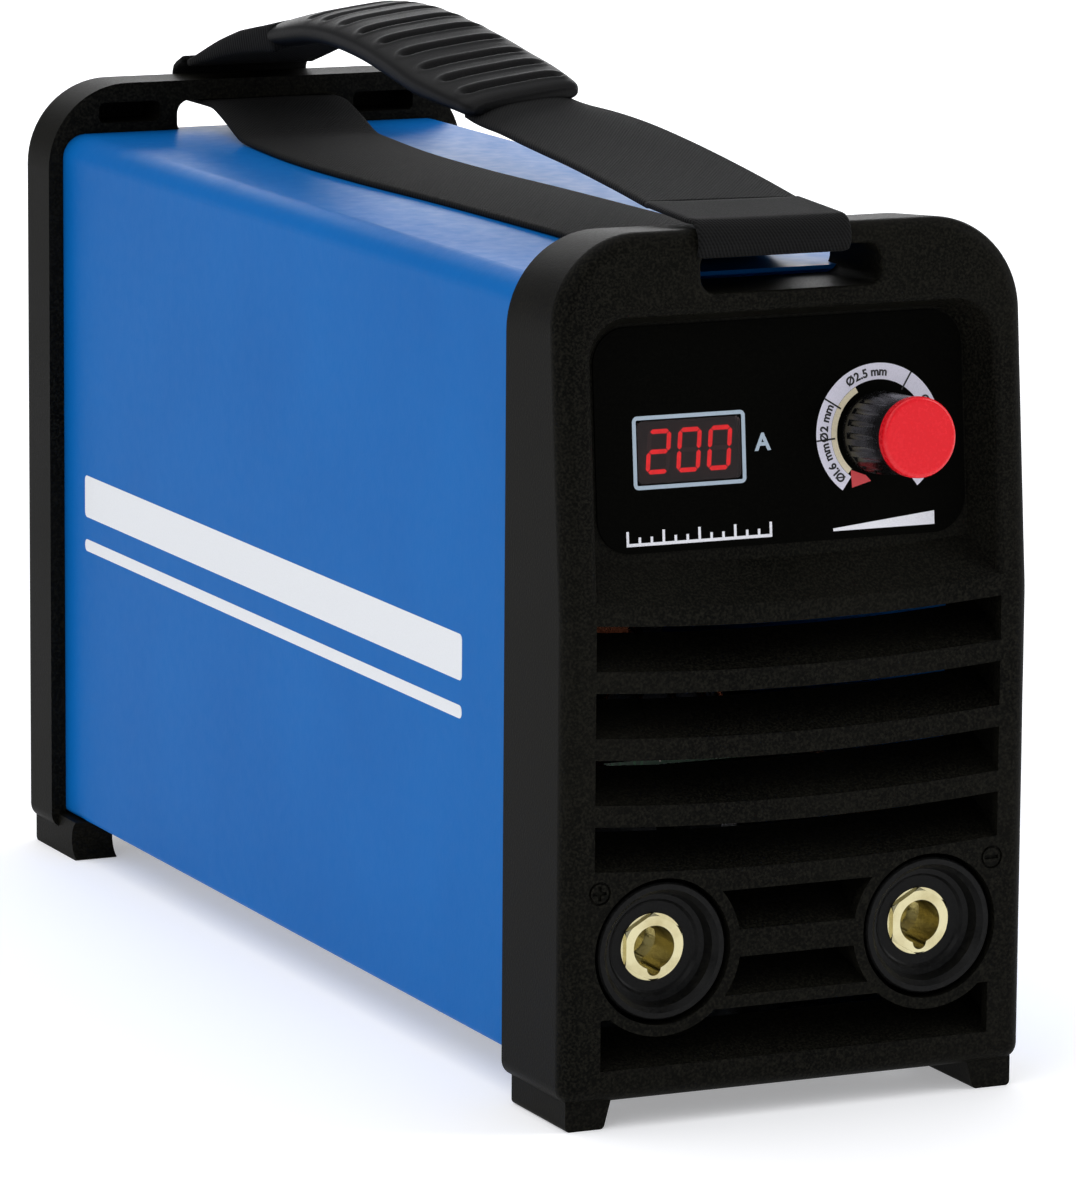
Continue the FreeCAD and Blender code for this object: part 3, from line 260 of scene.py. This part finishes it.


# One finish for each of the record's material slots. After the name and the two colours, the pits' own colour and
# their painted glint, moulded() takes the pits' size and depth, the lowest and highest roughness, and the shine.
# metal() takes the two roughnesses, the marks' stretch, and their size and depth.
FINISHES = {
    "black_moulding": moulded(
        "black_moulding", srgb(5, 5, 4), srgb(28, 27, 22), 0.75, 0.08, 0.42, 0.56, 0.03),
    "black_plastic": moulded("satin_black", srgb(9, 9, 9), srgb(22, 22, 21), 0.9, 0.03, 0.26, 0.42, 0.1),
    "blue_powder": powder_coat("blue_powder", srgb(8, 97, 172), srgb(10, 103, 179)),
    "steel": metal(
        "zinc_steel", srgb(176, 178, 182), srgb(132, 134, 136), 0.22, 0.44, (1, 1, 6), 0.9, 0.01),
    "label_black": moulded("label_film", srgb(3, 3, 2), srgb(7, 7, 5), 0.6, 0.012, 0.42, 0.55, 0.015),
    "smoked_lens": smoked_lens(),
    "led_module": moulded("module_face", srgb(26, 17, 15), srgb(34, 23, 20), 0.8, 0.01, 0.5, 0.7),
    "circuit_board": circuit_board(),
    "brass": metal(
        "turned_brass", srgb(206, 198, 158), srgb(164, 150, 104), 0.1, 0.26, (1, 7, 1), 0.8, 0.006),
    "copper": metal(
        "bare_copper", srgb(128, 74, 52), srgb(84, 48, 36), 0.2, 0.42, (1, 5, 1), 1.0, 0.012),
    "aluminium": metal(
        "aluminium", srgb(192, 194, 198), srgb(160, 162, 168), 0.26, 0.46, (6, 1, 6), 1.2, 0.015),
    "red_cap": moulded("red_cap", srgb(222, 16, 30), srgb(230, 22, 36), 1.1, 0.008, 0.22, 0.3, 0.35),
    "knob_black": moulded("knob_skirt", srgb(9, 9, 9), srgb(17, 17, 17), 0.7, 0.015, 0.16, 0.28, 0.4),
    "capacitor_sleeve": moulded(
        "capacitor_sleeve", srgb(24, 32, 62), srgb(34, 44, 82), 1.2, 0.02, 0.2, 0.34),
    "component_grey": moulded("component_grey", srgb(58, 59, 62), srgb(82, 83, 86), 0.8, 0.03, 0.4, 0.6),
    "ferrite": moulded("ferrite", srgb(48, 48, 51), srgb(76, 76, 80), 0.6, 0.05, 0.5, 0.75),
    "webbing": woven(),
    "rubber": moulded("soft_grip", srgb(9, 9, 9), srgb(22, 22, 22), 0.55, 0.05, 0.4, 0.56, 0.08),
    "nylon": moulded("nylon", srgb(14, 14, 14), srgb(28, 28, 28), 0.9, 0.03, 0.34, 0.5, 0.15),
}
WHITE_INK = printed("white_ink", srgb(236, 236, 242))
LILAC_INK = printed("lilac_ink", srgb(222, 219, 233))
CREAM_INK = printed("cream_ink", srgb(226, 214, 184))
RED_INK = printed("red_ink", srgb(204, 62, 66))
BLACK_INK = printed("black_ink", srgb(14, 14, 15), 0.0)
PALE_INK = printed("pale_ink", srgb(166, 182, 196))
WHITE_ENAMEL = printed("white_enamel", srgb(228, 230, 232), 0.05, 0.42)
LIT_BAR = glowing("lit_bar", (0.82, 0.012, 0.02, 1.0), 1.15)
DIM_BAR = printed("dim_bar", srgb(44, 20, 20), 0.1, 0.5)

for part in frame["record"]["subparts"]:
    for slot in frame["nodes"][part["node"]].material_slots:
        slot.material = FINISHES[part["material_slot"]]


# ---- meshes --------------------------------------------------------------------------------
def mesh_piece(name, vertices, faces, material, smooth=False):
    """A new object from corner positions in metres, with its faces turned outwards."""
    data = bpy.data.meshes.new(name)
    data.from_pydata(vertices, [], faces)
    data.materials.append(material)
    work = bmesh.new()
    work.from_mesh(data)
    bmesh.ops.recalc_face_normals(work, faces=work.faces)
    work.to_mesh(data)
    work.free()
    if smooth:
        data.shade_smooth()
    piece = bpy.data.objects.new(name, data)
    bpy.context.scene.collection.objects.link(piece)
    return piece


class Print:
    """Thin closed plates of one ink. place(u, v, out) gives where a printed point lies."""

    def __init__(self, name, ink, place, back, front):
        self.name, self.ink, self.place = name, ink, place
        self.levels = (back, front)
        self.vertices, self.faces = [], []

    def plate(self, outline):
        """A plate with that outline."""
        first, count = len(self.vertices), len(outline)
        for out in self.levels:
            self.vertices += [self.place(u, v, out) for u, v in outline]
        back = list(range(first, first + count))
        front = [i + count for i in back]
        self.faces += [back, front]
        for i in range(count):
            j = (i + 1) % count
            self.faces.append([back[i], back[j], front[j], front[i]])

    def band(self, inner, outer, closed=False):
        """A plate between two lines of equally many points, or a ring between two closed ones."""
        first, count = len(self.vertices), len(inner)
        for out in self.levels:
            for line in (inner, outer):
                self.vertices += [self.place(u, v, out) for u, v in line]
        corner = [[first + k * count + i for i in range(count)] for k in range(4)]
        rim = (0, 1, 3, 2)
        for i in range(count if closed else count - 1):
            j = (i + 1) % count
            for a, b in zip(rim, rim[1:] + rim[:1]):
                self.faces.append([corner[a][i], corner[a][j], corner[b][j], corner[b][i]])
        if not closed:
            self.faces += [[corner[k][end] for k in rim] for end in (0, -1)]

    def done(self, body="housing", slot="label_black"):
        """Makes the piece, which rides on that body."""
        piece = mesh_piece(self.name, self.vertices, self.faces, self.ink)
        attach(piece, body)


def arc(radius, start, end, step=3.0):
    """Points about the origin from one angle to another, in degrees."""
    count = max(2, round(abs(end - start) / step))
    angles = [math.radians(start + (end - start) * i / count) for i in range(count + 1)]
    return [(radius * math.cos(a), radius * math.sin(a)) for a in angles]


def rounded_box(left, right, low, high, radius):
    """The outline of a rectangle with rounded corners, with equally many points at each."""
    outline = []
    for x, y, start in ((right, high, 0), (left, high, 90), (left, low, 180), (right, low, 270)):
        centre = (x + (radius if x == left else -radius), y + (radius if y == low else -radius))
        outline += [(centre[0] + u, centre[1] + v) for u, v in arc(radius, start, start + 90, 15)]
    return outline


# ---- the leaning control face --------------------------------------------------------------
dial_joint = next(joint for joint in frame["joints"] if joint["name"] == "knob_turn")
DIAL = Vector(dial_joint["pos_m"])
OUT = Vector(dial_joint["axis"]).normalized()
UP = OUT.cross(Vector((1, 0, 0))).normalized()
FILM_OUT = (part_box("control_overlay")[0] - DIAL).dot(OUT) / MM
LENS_BACK = (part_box("display_window")[1] - DIAL).dot(OUT) / MM
INK = 0.08  # how thick a layer of ink is


def on_face(x, up, out):
    """A point by its millimetres right of, above and in front of the knob's centre on the face."""
    return DIAL + (Vector((x, 0, 0)) + UP * up + OUT * out) * MM


def face_print(name, ink, layer=0):
    """A print on the label film, or over the prints of the layer below."""
    back = FILM_OUT + layer * INK
    return Print(name, ink, on_face, back, back + INK)


# Places on the face are millimetres right of and above the knob's centre. Angles are degrees,
# anticlockwise from the right.
RING_IN, RING_OUT = 15.5, 20.3
RING_START, RING_END = 233.0, -53.0
DIVIDERS = (184.0, 148.0, 57.0)
RING_TEXTS = (("Ø1.6 mm", 208.0), ("Ø2 mm", 168.0), ("Ø2.5 mm", 102.0), ("Ø3.2 mm", 12.0))
TEXT_SIZE, TEXT_GAP, TEXT_SPACE = 3.5, 0.22, 0.8
CAPITALS = 0.72  # the height of a capital as a share of the lettering's size
DIVIDER_HALF, DIVIDER_INWARD = 0.24, 1.2
CRESCENT_IN, CRESCENT_OUT = 13.6, RING_IN - 0.1
CRESCENT_START, CRESCENT_END = 228, 118
START_WEDGE = ((-9.4, -10.4), (-9.1, -15.6), (-2.9, -14.0), (-4.6, -12.2))


def glyph(character, size):
    """The points and faces of one character of Blender's plain built-in lettering, as a plate
    whose front half has z above zero."""
    curve = bpy.data.curves.new("glyph", "FONT")
    curve.body = character
    curve.size = size
    curve.extrude = 0.5  # only tells the plate's two faces apart
    curve.offset = 0.03 * size
    curve.resolution_u = 4
    holder = bpy.data.objects.new("glyph", curve)
    bpy.context.scene.collection.objects.link(holder)
    bpy.context.view_layer.update()
    data = bpy.data.meshes.new_from_object(holder)
    points = [vertex.co.copy() for vertex in data.vertices]
    faces = [list(face.vertices) for face in data.polygons]
    bpy.data.objects.remove(holder)
    bpy.data.curves.remove(curve)
    bpy.data.meshes.remove(data)
    return points, faces


def dial_text(target, text, middle, radius):
    """Characters set round the ring, their tops outwards, centred on an angle."""
    glyphs = [glyph(character, TEXT_SIZE) if character != " " else ([], []) for character in text]
    widths = []
    for points, _ in glyphs:
        reach = [p.x for p in points]
        widths.append(max(reach) - min(reach) if reach else TEXT_SPACE)
    run = sum(widths) + TEXT_GAP * (len(text) - 1)
    angle = math.radians(middle) + run / 2 / radius
    height = CAPITALS * TEXT_SIZE
    for (points, faces), width in zip(glyphs, widths):
        angle -= width / 2 / radius
        outward = Vector((math.cos(angle), math.sin(angle)))
        along = Vector((outward.y, -outward.x))
        first = len(target.vertices)
        left = min((p.x for p in points), default=0.0)
        for p in points:
            spot = outward * (radius + p.y - height / 2) + along * (p.x - left - width / 2)
            target.vertices.append(on_face(spot.x, spot.y, target.levels[int(p.z > 0)]))
        target.faces += [[first + i for i in face] for face in faces]
        angle -= width / 2 / radius + TEXT_GAP / radius


ring = face_print("dial_ring", LILAC_INK)
ring.band(arc(RING_IN, RING_START, RING_END), arc(RING_OUT, RING_START, RING_END))
ring.done()

crescent = face_print("dial_crescent", CREAM_INK)
crescent.band(arc(CRESCENT_IN, CRESCENT_START, CRESCENT_END),
              arc(CRESCENT_OUT, CRESCENT_START, CRESCENT_END))
crescent.done()

wedge = face_print("dial_start_wedge", RED_INK)
wedge.plate(START_WEDGE)
wedge.done()

marks = face_print("dial_marks", BLACK_INK, 1)
for angle in DIVIDERS:
    a = math.radians(angle)
    half_line = Vector((-math.sin(a), math.cos(a))) * DIVIDER_HALF
    inner, outer = (Vector((math.cos(a), math.sin(a))) * r for r in (RING_IN - DIVIDER_INWARD, RING_OUT))
    marks.plate([inner - half_line, outer - half_line, outer + half_line, inner + half_line])
for text, angle in RING_TEXTS:
    dial_text(marks, text, angle, (RING_IN + RING_OUT) / 2)
marks.done()

# ---- display -------------------------------------------------------------------------------
window_low, window_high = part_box("display_window")
WINDOW_X = (window_low.x + window_high.x) / 2 / MM - DIAL.x / MM
WINDOW_UP = ((window_low + window_high) / 2 - DIAL).dot(UP) / MM
FRAME_WIDE, FRAME_HIGH, FRAME_LINE, FRAME_CORNER = 36.0, 21.2, 1.15, 1.6
UNIT_SIZE, UNIT_LEFT, UNIT_UP = 7.0, -40.3, -2.8

border = face_print("display_border", PALE_INK)
outlines = []
for inset in (FRAME_LINE, 0.0):
    outlines.append(rounded_box(
        WINDOW_X - FRAME_WIDE / 2 + inset, WINDOW_X + FRAME_WIDE / 2 - inset,
        WINDOW_UP - FRAME_HIGH / 2 + inset, WINDOW_UP + FRAME_HIGH / 2 - inset,
        FRAME_CORNER - inset))
border.band(*outlines, closed=True)
border.done()

unit = face_print("display_unit", PALE_INK)
points, faces = glyph("A", UNIT_SIZE)
unit_left = min(p.x for p in points)
for p in points:
    out = unit.levels[int(p.z > 0)]
    unit.vertices.append(on_face(UNIT_LEFT + p.x - unit_left, UNIT_UP + p.y, out))
unit.faces = faces
unit.done()

DIGIT_HIGH, DIGIT_WIDE, DIGIT_PITCH = 12.9, 7.5, 9.75
DIGIT_LINE, DIGIT_SLANT, DIGIT_GAP = 1.3, 0.09, 0.16
DIGITS_SHIFT = 0.6
BEHIND_LENS = (0.22, 0.12)
SEGMENTS = {
    "a": ((0, 2), (1, 2)), "b": ((1, 2), (1, 1)), "c": ((1, 1), (1, 0)), "d": ((0, 0), (1, 0)),
    "e": ((0, 0), (0, 1)), "f": ((0, 1), (0, 2)), "g": ((0, 1), (1, 1)),
}
READING = ("abged", "abcdef", "abcdef")


def segment(ends, centre_x):
    """The six-sided outline of one bar of a digit. Its ends count widths and half heights."""
    wide, high = DIGIT_WIDE - DIGIT_LINE, (DIGIT_HIGH - DIGIT_LINE) / 2
    start, end = (Vector(((u - 0.5) * wide, (v - 1) * high)) for u, v in ends)
    along = (end - start).normalized()
    start, end = start + along * DIGIT_GAP, end - along * DIGIT_GAP
    across = Vector((-along.y, along.x)) * DIGIT_LINE / 2
    shoulder = along * DIGIT_LINE / 2
    outline = (start, start + shoulder + across, end - shoulder + across,
               end, end - shoulder - across, start + shoulder - across)
    return [(centre_x + p.x + DIGIT_SLANT * p.y, WINDOW_UP + p.y) for p in outline]


bar_levels = [LENS_BACK - behind for behind in BEHIND_LENS]
lit = Print("display_lit_bars", LIT_BAR, on_face, *bar_levels)
dim = Print("display_dim_bars", DIM_BAR, on_face, *bar_levels)
for number, letters in enumerate(READING):
    centre_x = WINDOW_X + DIGITS_SHIFT + (number - 1) * DIGIT_PITCH
    for letter, ends in SEGMENTS.items():
        (lit if letter in letters else dim).plate(segment(ends, centre_x))
lit.done(slot="led_module")
dim.done(slot="led_module")


# ---- plain marks in place of lettering -----------------------------------------------------
def rectangle(left, right, low, high):
    return [(left, low), (right, low), (right, high), (left, high)]


RULE_LEFT, RULE_RIGHT, RULE_UP = -82.0, -35.4, -28.2
RULE_LINE, RULE_STEPS = 0.9, 12
TICK_WIDE, TICK_SHORT, TICK_LONG = 0.8, 2.6, 4.4
rule = face_print("face_rule", WHITE_INK)
rule.plate(rectangle(RULE_LEFT, RULE_RIGHT, RULE_UP, RULE_UP + RULE_LINE))
for i in range(RULE_STEPS + 1):
    x = RULE_LEFT + (RULE_RIGHT - RULE_LEFT - TICK_WIDE) * i / RULE_STEPS
    tall = TICK_LONG if i % 3 == 0 else TICK_SHORT
    rule.plate(rectangle(x, x + TICK_WIDE, RULE_UP + RULE_LINE, RULE_UP + tall))
rule.done()

GROWTH_LEFT, GROWTH_RIGHT, GROWTH_UP = -15.6, 17.5, -27.9
GROWTH_THIN, GROWTH_THICK = 0.8, 4.0
growth = face_print("face_growth_bar", WHITE_INK)
growth.plate([(GROWTH_LEFT, GROWTH_UP), (GROWTH_RIGHT, GROWTH_UP),
              (GROWTH_RIGHT, GROWTH_UP + GROWTH_THICK), (GROWTH_LEFT, GROWTH_UP + GROWTH_THIN)])
growth.done()

STRIPE_FRONT, STRIPE_BACK, STRIPE_CORNER = 84.0, 392.0, 1.8
STRIPE_HEIGHTS = ((118.0, 132.0), (106.5, 110.5))


def cover_stripes(name, wall, outward):
    """Two stripes on the cover's wall at x = wall, which faces along x by outward, 1 or -1."""
    stripes = Print(name, WHITE_ENAMEL, lambda y, z, out: at(wall + outward * out, y, z), 0.0, INK)
    for low, high in STRIPE_HEIGHTS:
        stripes.plate(rounded_box(STRIPE_FRONT, STRIPE_BACK, low, high, STRIPE_CORNER))
    stripes.done(slot="blue_powder")


cover_low, cover_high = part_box("cover")
cover_stripes("cover_stripes_left", cover_low.x / MM, -1)
cover_stripes("cover_stripes_right", cover_high.x / MM, 1)

POINTER_HALF, POINTER_BACK, POINTER_FRONT = 0.4, 8.0, 12.4
POINTER_LEVELS = (11.0, 11.75)
pointer = Print("knob_pointer", WHITE_INK, lambda x, out, radial: on_face(x, -radial, out), *POINTER_LEVELS)
pointer.plate(rectangle(-POINTER_HALF, POINTER_HALF, POINTER_BACK, POINTER_FRONT))
pointer.done("control_knob", "knob_black")


# ---- strap ---------------------------------------------------------------------------------
STRAP_WIDE, STRAP_THICK = 48.6, 1.8
EVENLY_THICK = [(0, STRAP_THICK), (600, STRAP_THICK)]
WEBBING_STEP, PATH_STEP, GRIP_STEP = 2.5, 1.0, 0.6


def rounded(points, radii):
    """The corners of a path in the side view turned into arcs, as close (y, z) points."""
    path = []
    for i, (point, radius) in enumerate(zip(points, radii)):
        corner = Vector(point)
        if not radius:
            path.append(corner)
            continue
        before = (Vector(points[i - 1]) - corner).normalized()
        after = (Vector(points[i + 1]) - corner).normalized()
        turn = math.pi - before.angle(after)
        reach = radius * math.tan(turn / 2)
        centre = corner + (before + after).normalized() * radius / math.cos(turn / 2)
        spoke = corner + before * reach - centre
        sense = 1 if before.x * after.y - before.y * after.x < 0 else -1
        steps = max(2, math.ceil(math.degrees(turn) / 7))
        for k in range(steps + 1):
            path.append(centre + Matrix.Rotation(sense * turn * k / steps, 2) @ spoke)
    return np.array(path)


def along_route(route):
    """The length run at each point of a route."""
    return np.r_[0, np.cumsum(np.linalg.norm(np.diff(route, axis=0), axis=1))]


def respaced(route, step):
    """The same route in equal steps."""
    run = along_route(route)
    marks = np.linspace(0, run[-1], max(2, round(run[-1] / step)) + 1)
    return np.column_stack([np.interp(marks, run, column) for column in route.T])


def eased(table, at_values):
    """Values read smoothly from a table of (position, value)."""
    xs, ys = np.array(table, float).T
    slope = np.gradient(ys, xs)
    i = np.clip(np.searchsorted(xs, at_values) - 1, 0, len(xs) - 2)
    wide = xs[i + 1] - xs[i]
    t = np.clip((at_values - xs[i]) / wide, 0, 1)
    return ((1 + 2 * t) * (1 - t) ** 2 * ys[i] + t * (1 - t) ** 2 * wide * slope[i]
            + t ** 2 * (3 - 2 * t) * ys[i + 1] + t ** 2 * (t - 1) * wide * slope[i + 1])


def lofted(name, route, roll, sections, material):
    """A closed skin through sections set along a route of (x, y, z), in millimetres. A section
    is a closed loop of (across, up) points. weave keeps each point's place in metres."""
    ahead = np.gradient(route, axis=0)
    ahead /= np.linalg.norm(ahead, axis=1)[:, None]
    across = np.array([1.0, 0, 0]) - ahead * ahead[:, :1]
    across /= np.linalg.norm(across, axis=1)[:, None]
    up = np.cross(across, ahead)
    turn = np.radians(roll)[:, None]
    across, up = across * np.cos(turn) + up * np.sin(turn), up * np.cos(turn) - across * np.sin(turn)
    run = along_route(route)
    vertices, weave = [], []
    for centre, a, u, section, s in zip(route, across, up, sections, run):
        for p, h in section:
            vertices.append(at(*(centre + a * p + u * h)))
            weave += [p * MM, s * MM, 0.0]
    count = len(sections[0])
    faces = [[k * count + i for i in range(count)] for k in (0, len(route) - 1)]
    for k in range(len(route) - 1):
        for i in range(count):
            j = (i + 1) % count
            faces.append([k * count + i, k * count + j, (k + 1) * count + j, (k + 1) * count + i])
    piece = mesh_piece(name, vertices, faces, material, smooth=True)
    piece.data.attributes.new("weave", "FLOAT_VECTOR", "POINT").data.foreach_set("vector", weave)
    return piece, float(run[-1])


def flat_section(width, curl, thick):
    """Webbing's flat section with soft selvedges; its edges drop by curl."""
    half, thick = width / 2, thick / 2
    shares = [-1, -0.985, -0.955, -0.9] + [k / 10 for k in range(-8, 9)] + [0.9, 0.955, 0.985, 1]

    def height(share):
        edge = abs(share)
        return thick * (0.45 if edge == 1 else 0.85 if edge > 0.98 else 1.06 if edge > 0.95 else 1.0)

    top = [(s * half, height(s) - curl * abs(s) ** 3) for s in shares]
    under = [(s * half, -height(s) - curl * abs(s) ** 3) for s in reversed(shares)]
    return top + under


def webbing(name, path, drift, widths, rolls, curls, thicks):
    """A run of webbing on a side-view path. The tables give, by length along the path, its
    middle's x, its width, its roll in degrees, how far its edges curl down and its thickness."""
    side_route = respaced(path, WEBBING_STEP)
    run = along_route(side_route)
    route = np.column_stack([eased(drift, run), side_route])
    sections = [flat_section(*values) for values in zip(
        eased(widths, run), eased(curls, run), eased(thicks, run))]
    piece, length = lofted(name, route, eased(rolls, run), sections, FINISHES["webbing"])
    return piece, length


RIM_TOP = 261.3
LEG_START, LEG_END = 52.0, 424.0
GRIP_FRONT, GRIP_BACK = 203.0, 374.0
INTO_FRONT, INTO_BACK = 10, 12  # how far each leg runs on inside the grip
# The corners (y, z) of the strap's two runs, from the front rim to the rear one, and the radius
# of the bend at each.
LOWER = [(LEG_START, RIM_TOP), (8.2, RIM_TOP), (8.2, 252.1), (26, 252.1), (66, 244.8), (366, 244.8),
         (403, 252.1), (436.3, 252.1), (436.3, 261.9), (LEG_END, 266.2)]
LOWER_RADII = [0, 6.2, 2.7, 30, 60, 60, 30, 2.7, 5.5, 0]
UPPER = [(LEG_START, RIM_TOP), (205, 273.6), (262, 281.9), (322, 288.6), (385, 277.6), (436.3, 259.8)]
UPPER_RADII = [0, 400, 300, 300, 200, 0]

lower_path = rounded(LOWER, LOWER_RADII)
strap_lower, lower_length = webbing(
    "strap_lower_webbing", lower_path,
    drift=[(0, -1.4), (20, -3.6), (44, -5.9), (62, -5.9), (110, -3.2), (150, 0.0), (200, -0.4), (250, -2.0),
           (300, -5.0), (350, -5.4), (400, -1.0), (445, 4.4), (480, 4.0), (510, 2.0)],
    widths=[(0, STRAP_WIDE), (510, STRAP_WIDE)],
    rolls=[(0, 0), (510, 0)],
    curls=[(0, 0.2), (60, 0.0), (250, 0.5), (400, 0.2), (510, 0.0)],
    thicks=EVENLY_THICK)
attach(strap_lower, "housing")
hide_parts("strap_lower")

upper_path = respaced(rounded(UPPER, UPPER_RADII), PATH_STEP)
upper_y = upper_path[:, 0]
front_path = upper_path[upper_y <= GRIP_FRONT + INTO_FRONT]
rear_path = upper_path[(upper_y >= GRIP_BACK - INTO_BACK) & (upper_y <= LEG_END)]

front_leg, front_length = webbing(
    "strap_front_leg_webbing", front_path,
    drift=[(0, -1.4), (23, 0.6), (48, 2.2), (78, 3.7), (108, 4.4), (165, 4.5)],
    widths=[(0, STRAP_WIDE), (60, 46.4), (110, 43.0), (148, 36.0), (165, 34.0)],
    rolls=[(0, 0), (50, 2.0), (110, 5.0), (165, 7.5)],
    curls=[(0, 0.2), (80, 0.6), (130, 1.8), (150, 3.2), (165, 3.4)],
    thicks=EVENLY_THICK)
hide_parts("strap_front_leg")
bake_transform(front_leg)

rear_leg, rear_length = webbing(
    "strap_rear_leg_webbing", rear_path,
    drift=[(0, 3.6), (30, 3.0), (64, 2.6)],
    widths=[(0, 38.0), (14, 40.6), (36, 44.0), (64, 46.5)],
    rolls=[(0, 5.0), (20, 3.0), (64, 0)],
    curls=[(0, 1.6), (30, 0.8), (64, 0.0)],
    thicks=[(0, 8.6), (20, 7.4), (44, 5.0), (64, 2.4)])
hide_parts("strap_rear_leg")
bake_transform(rear_leg)

# The grip's middle line as (y, z), then its sizes by length along that line.
GRIP_MIDDLE = [(200, 273.6), (212, 275.4), (227, 277.2), (242, 278.8), (258.5, 281.4), (277, 284.0),
               (295, 285.8), (312, 286.7), (333, 286.0), (355, 282.9), (378, 279.0)]
GRIP_HALF_THICK = [(0, 2.0), (2, 3.2), (6, 4.0), (16, 4.4), (36, 5.3),
                   (120, 5.3), (150, 5.0), (166, 4.0), (174, 2.8)]
GRIP_HALF_WIDE = [(0, 17.5), (3, 19.2), (10, 20.2), (90, 20.4), (140, 20.0), (174, 19.0)]
GROOVES_AT = (10.5, 25.0, 40.0, 56.0, 72.0, 88.0, 104.0, 118.0, 130.0)
GROOVE_HALF, GROOVE_WIDE, GROOVE_DEEP, GROOVE_STEEP = 14.5, 2.6, 2.3, 2.2
LIP_HIGH, LIP_OFF, LIP_STEEP = 0.35, 1.35, 6.0
DEEP_GROOVES, SHALLOW = 6, 0.6
GRIP_DRIFT = [(0, 4.4), (60, 3.4), (174, 3.6)]
GRIP_ROLL = 7.5
GRIP_CORNERS = 96
SIDE_BULGE, CROWN_BULGE = 0.55, 0.72  # powers under 1 square an ellipse off


def grip_section(half_wide, half_thick, run):
    """A fat rounded section. Across its top run lipped grooves, shallower towards the back."""
    section = []
    for i in range(GRIP_CORNERS):
        a = 2 * math.pi * i / GRIP_CORNERS
        c, s = math.cos(a), math.sin(a)
        x = half_wide * math.copysign(abs(c) ** SIDE_BULGE, c)
        up = half_thick * math.copysign(abs(s) ** CROWN_BULGE, s)
        if up > 0:
            for number, middle in enumerate(GROOVES_AT):
                off = math.hypot(max(0.0, abs(x) - GROOVE_HALF), run - middle) / GROOVE_WIDE
                fade = 1.0 if number < DEEP_GROOVES else SHALLOW
                up -= fade * GROOVE_DEEP * math.exp(-(off ** 2) * GROOVE_STEEP)
                up += fade * LIP_HIGH * math.exp(-((off - LIP_OFF) ** 2) * LIP_STEEP)
        section.append((x, up))
    return section


grip_y = np.linspace(GRIP_FRONT, GRIP_BACK, 60)
grip_side = respaced(np.column_stack([grip_y, eased(GRIP_MIDDLE, grip_y)]), GRIP_STEP)
run = along_route(grip_side)
grip_route = np.column_stack([eased(GRIP_DRIFT, run), grip_side])
sections = [grip_section(*sizes) for sizes in zip(
    eased(GRIP_HALF_WIDE, run), eased(GRIP_HALF_THICK, run), run)]
rolls = np.full(len(run), GRIP_ROLL)
grip, _ = lofted("strap_grip_sleeve", grip_route, rolls, sections, FINISHES["rubber"])
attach(grip, "carrying_grip")
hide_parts("strap_grip", "strap_core")

# ---- studio --------------------------------------------------------------------------------
scene = bpy.context.scene
scene.view_settings.view_transform = "Standard"

FLOOR_REACH = 12.0  # metres each way


def pale_floor():
    """White paper, lit from within a little so that it stays white round the soft shadow."""
    f = Finish("studio_floor", Specular_IOR_Level=0.0, Emission_Strength=0.36)
    tone = f.ramp(f.noise(400.0, 2.0), (0.2, (0.86, 0.86, 0.87, 1)), (0.8, (0.9, 0.9, 0.91, 1)))
    return f.paint(
        Base_Color=tone,
        Emission_Color=tone,
        Roughness=f.ramp(f.noise(30.0), (0.3, 0.7), (0.8, 0.85)),
    )


corners = [(x * FLOOR_REACH, y * FLOOR_REACH, 0.0) for x, y in ((-1, -1), (1, -1), (1, 1), (-1, 1))]
floor = mesh_piece("floor", corners, [[0, 1, 2, 3]], pale_floor())

world = bpy.data.worlds.new("studio")
world.use_nodes = True
backdrop = world.node_tree.nodes["Background"].inputs
backdrop["Color"].default_value = (0.93, 0.95, 1.0, 1.0)
backdrop["Strength"].default_value = 0.42
scene.world = world


def hang(light, heading, place=(0, 0, 0)):
    """Puts a light in the scene, shining along heading."""
    holder = bpy.data.objects.new(light.name, light)
    holder.location = place
    holder.rotation_euler = heading.to_track_quat("-Z", "Y").to_euler()
    scene.collection.objects.link(holder)


def softbox(name, place, aim, size, watts):
    """A rectangular light. place and aim are in the machine's axes, size in metres."""
    light = bpy.data.lights.new(name, "AREA")
    light.shape = "RECTANGLE"
    light.size, light.size_y = size
    light.energy = watts
    hang(light, at(*aim) - at(*place), at(*place))


softbox("key_left", (-1500, -900, 1300), (0, 150, 120), (1.3, 1.3), 8.0)
softbox("right_rim", (1300, -500, 900), (30, 0, 150), (0.5, 1.4), 9.0)
softbox("far_glow", (1400, 3000, 900), (0, 200, 240), (3.0, 0.9), 34.0)

sky = bpy.data.lights.new("sky", "SUN")
sky.energy = 1.35
sky.angle = math.radians(70)
hang(sky, Vector((0.25, -0.35, -1.0)))

CAMERA_PLACE = (-940.7, -1863.4, 538.6)
LENS, SENSOR = 224.65, 36.0
YAW, PITCH, ROLL = math.radians(24.694), math.radians(10.430), math.radians(0.424)
camera_data = bpy.data.cameras.new("camera")
camera_data.lens, camera_data.sensor_width = LENS, SENSOR
camera_data.clip_start, camera_data.clip_end = 0.05, 60.0
camera = bpy.data.objects.new("camera", camera_data)
ahead = Vector((math.sin(YAW) * math.cos(PITCH), math.cos(YAW) * math.cos(PITCH), -math.sin(PITCH)))
right = Vector((math.cos(YAW), -math.sin(YAW), 0))
level = Matrix((right, right.cross(ahead), -ahead)).transposed()
turned = (level @ Matrix.Rotation(ROLL, 3, "Z")).to_4x4()
camera.matrix_world = Matrix.Translation(at(*CAMERA_PLACE)) @ turned
scene.collection.objects.link(camera)
scene.camera = camera
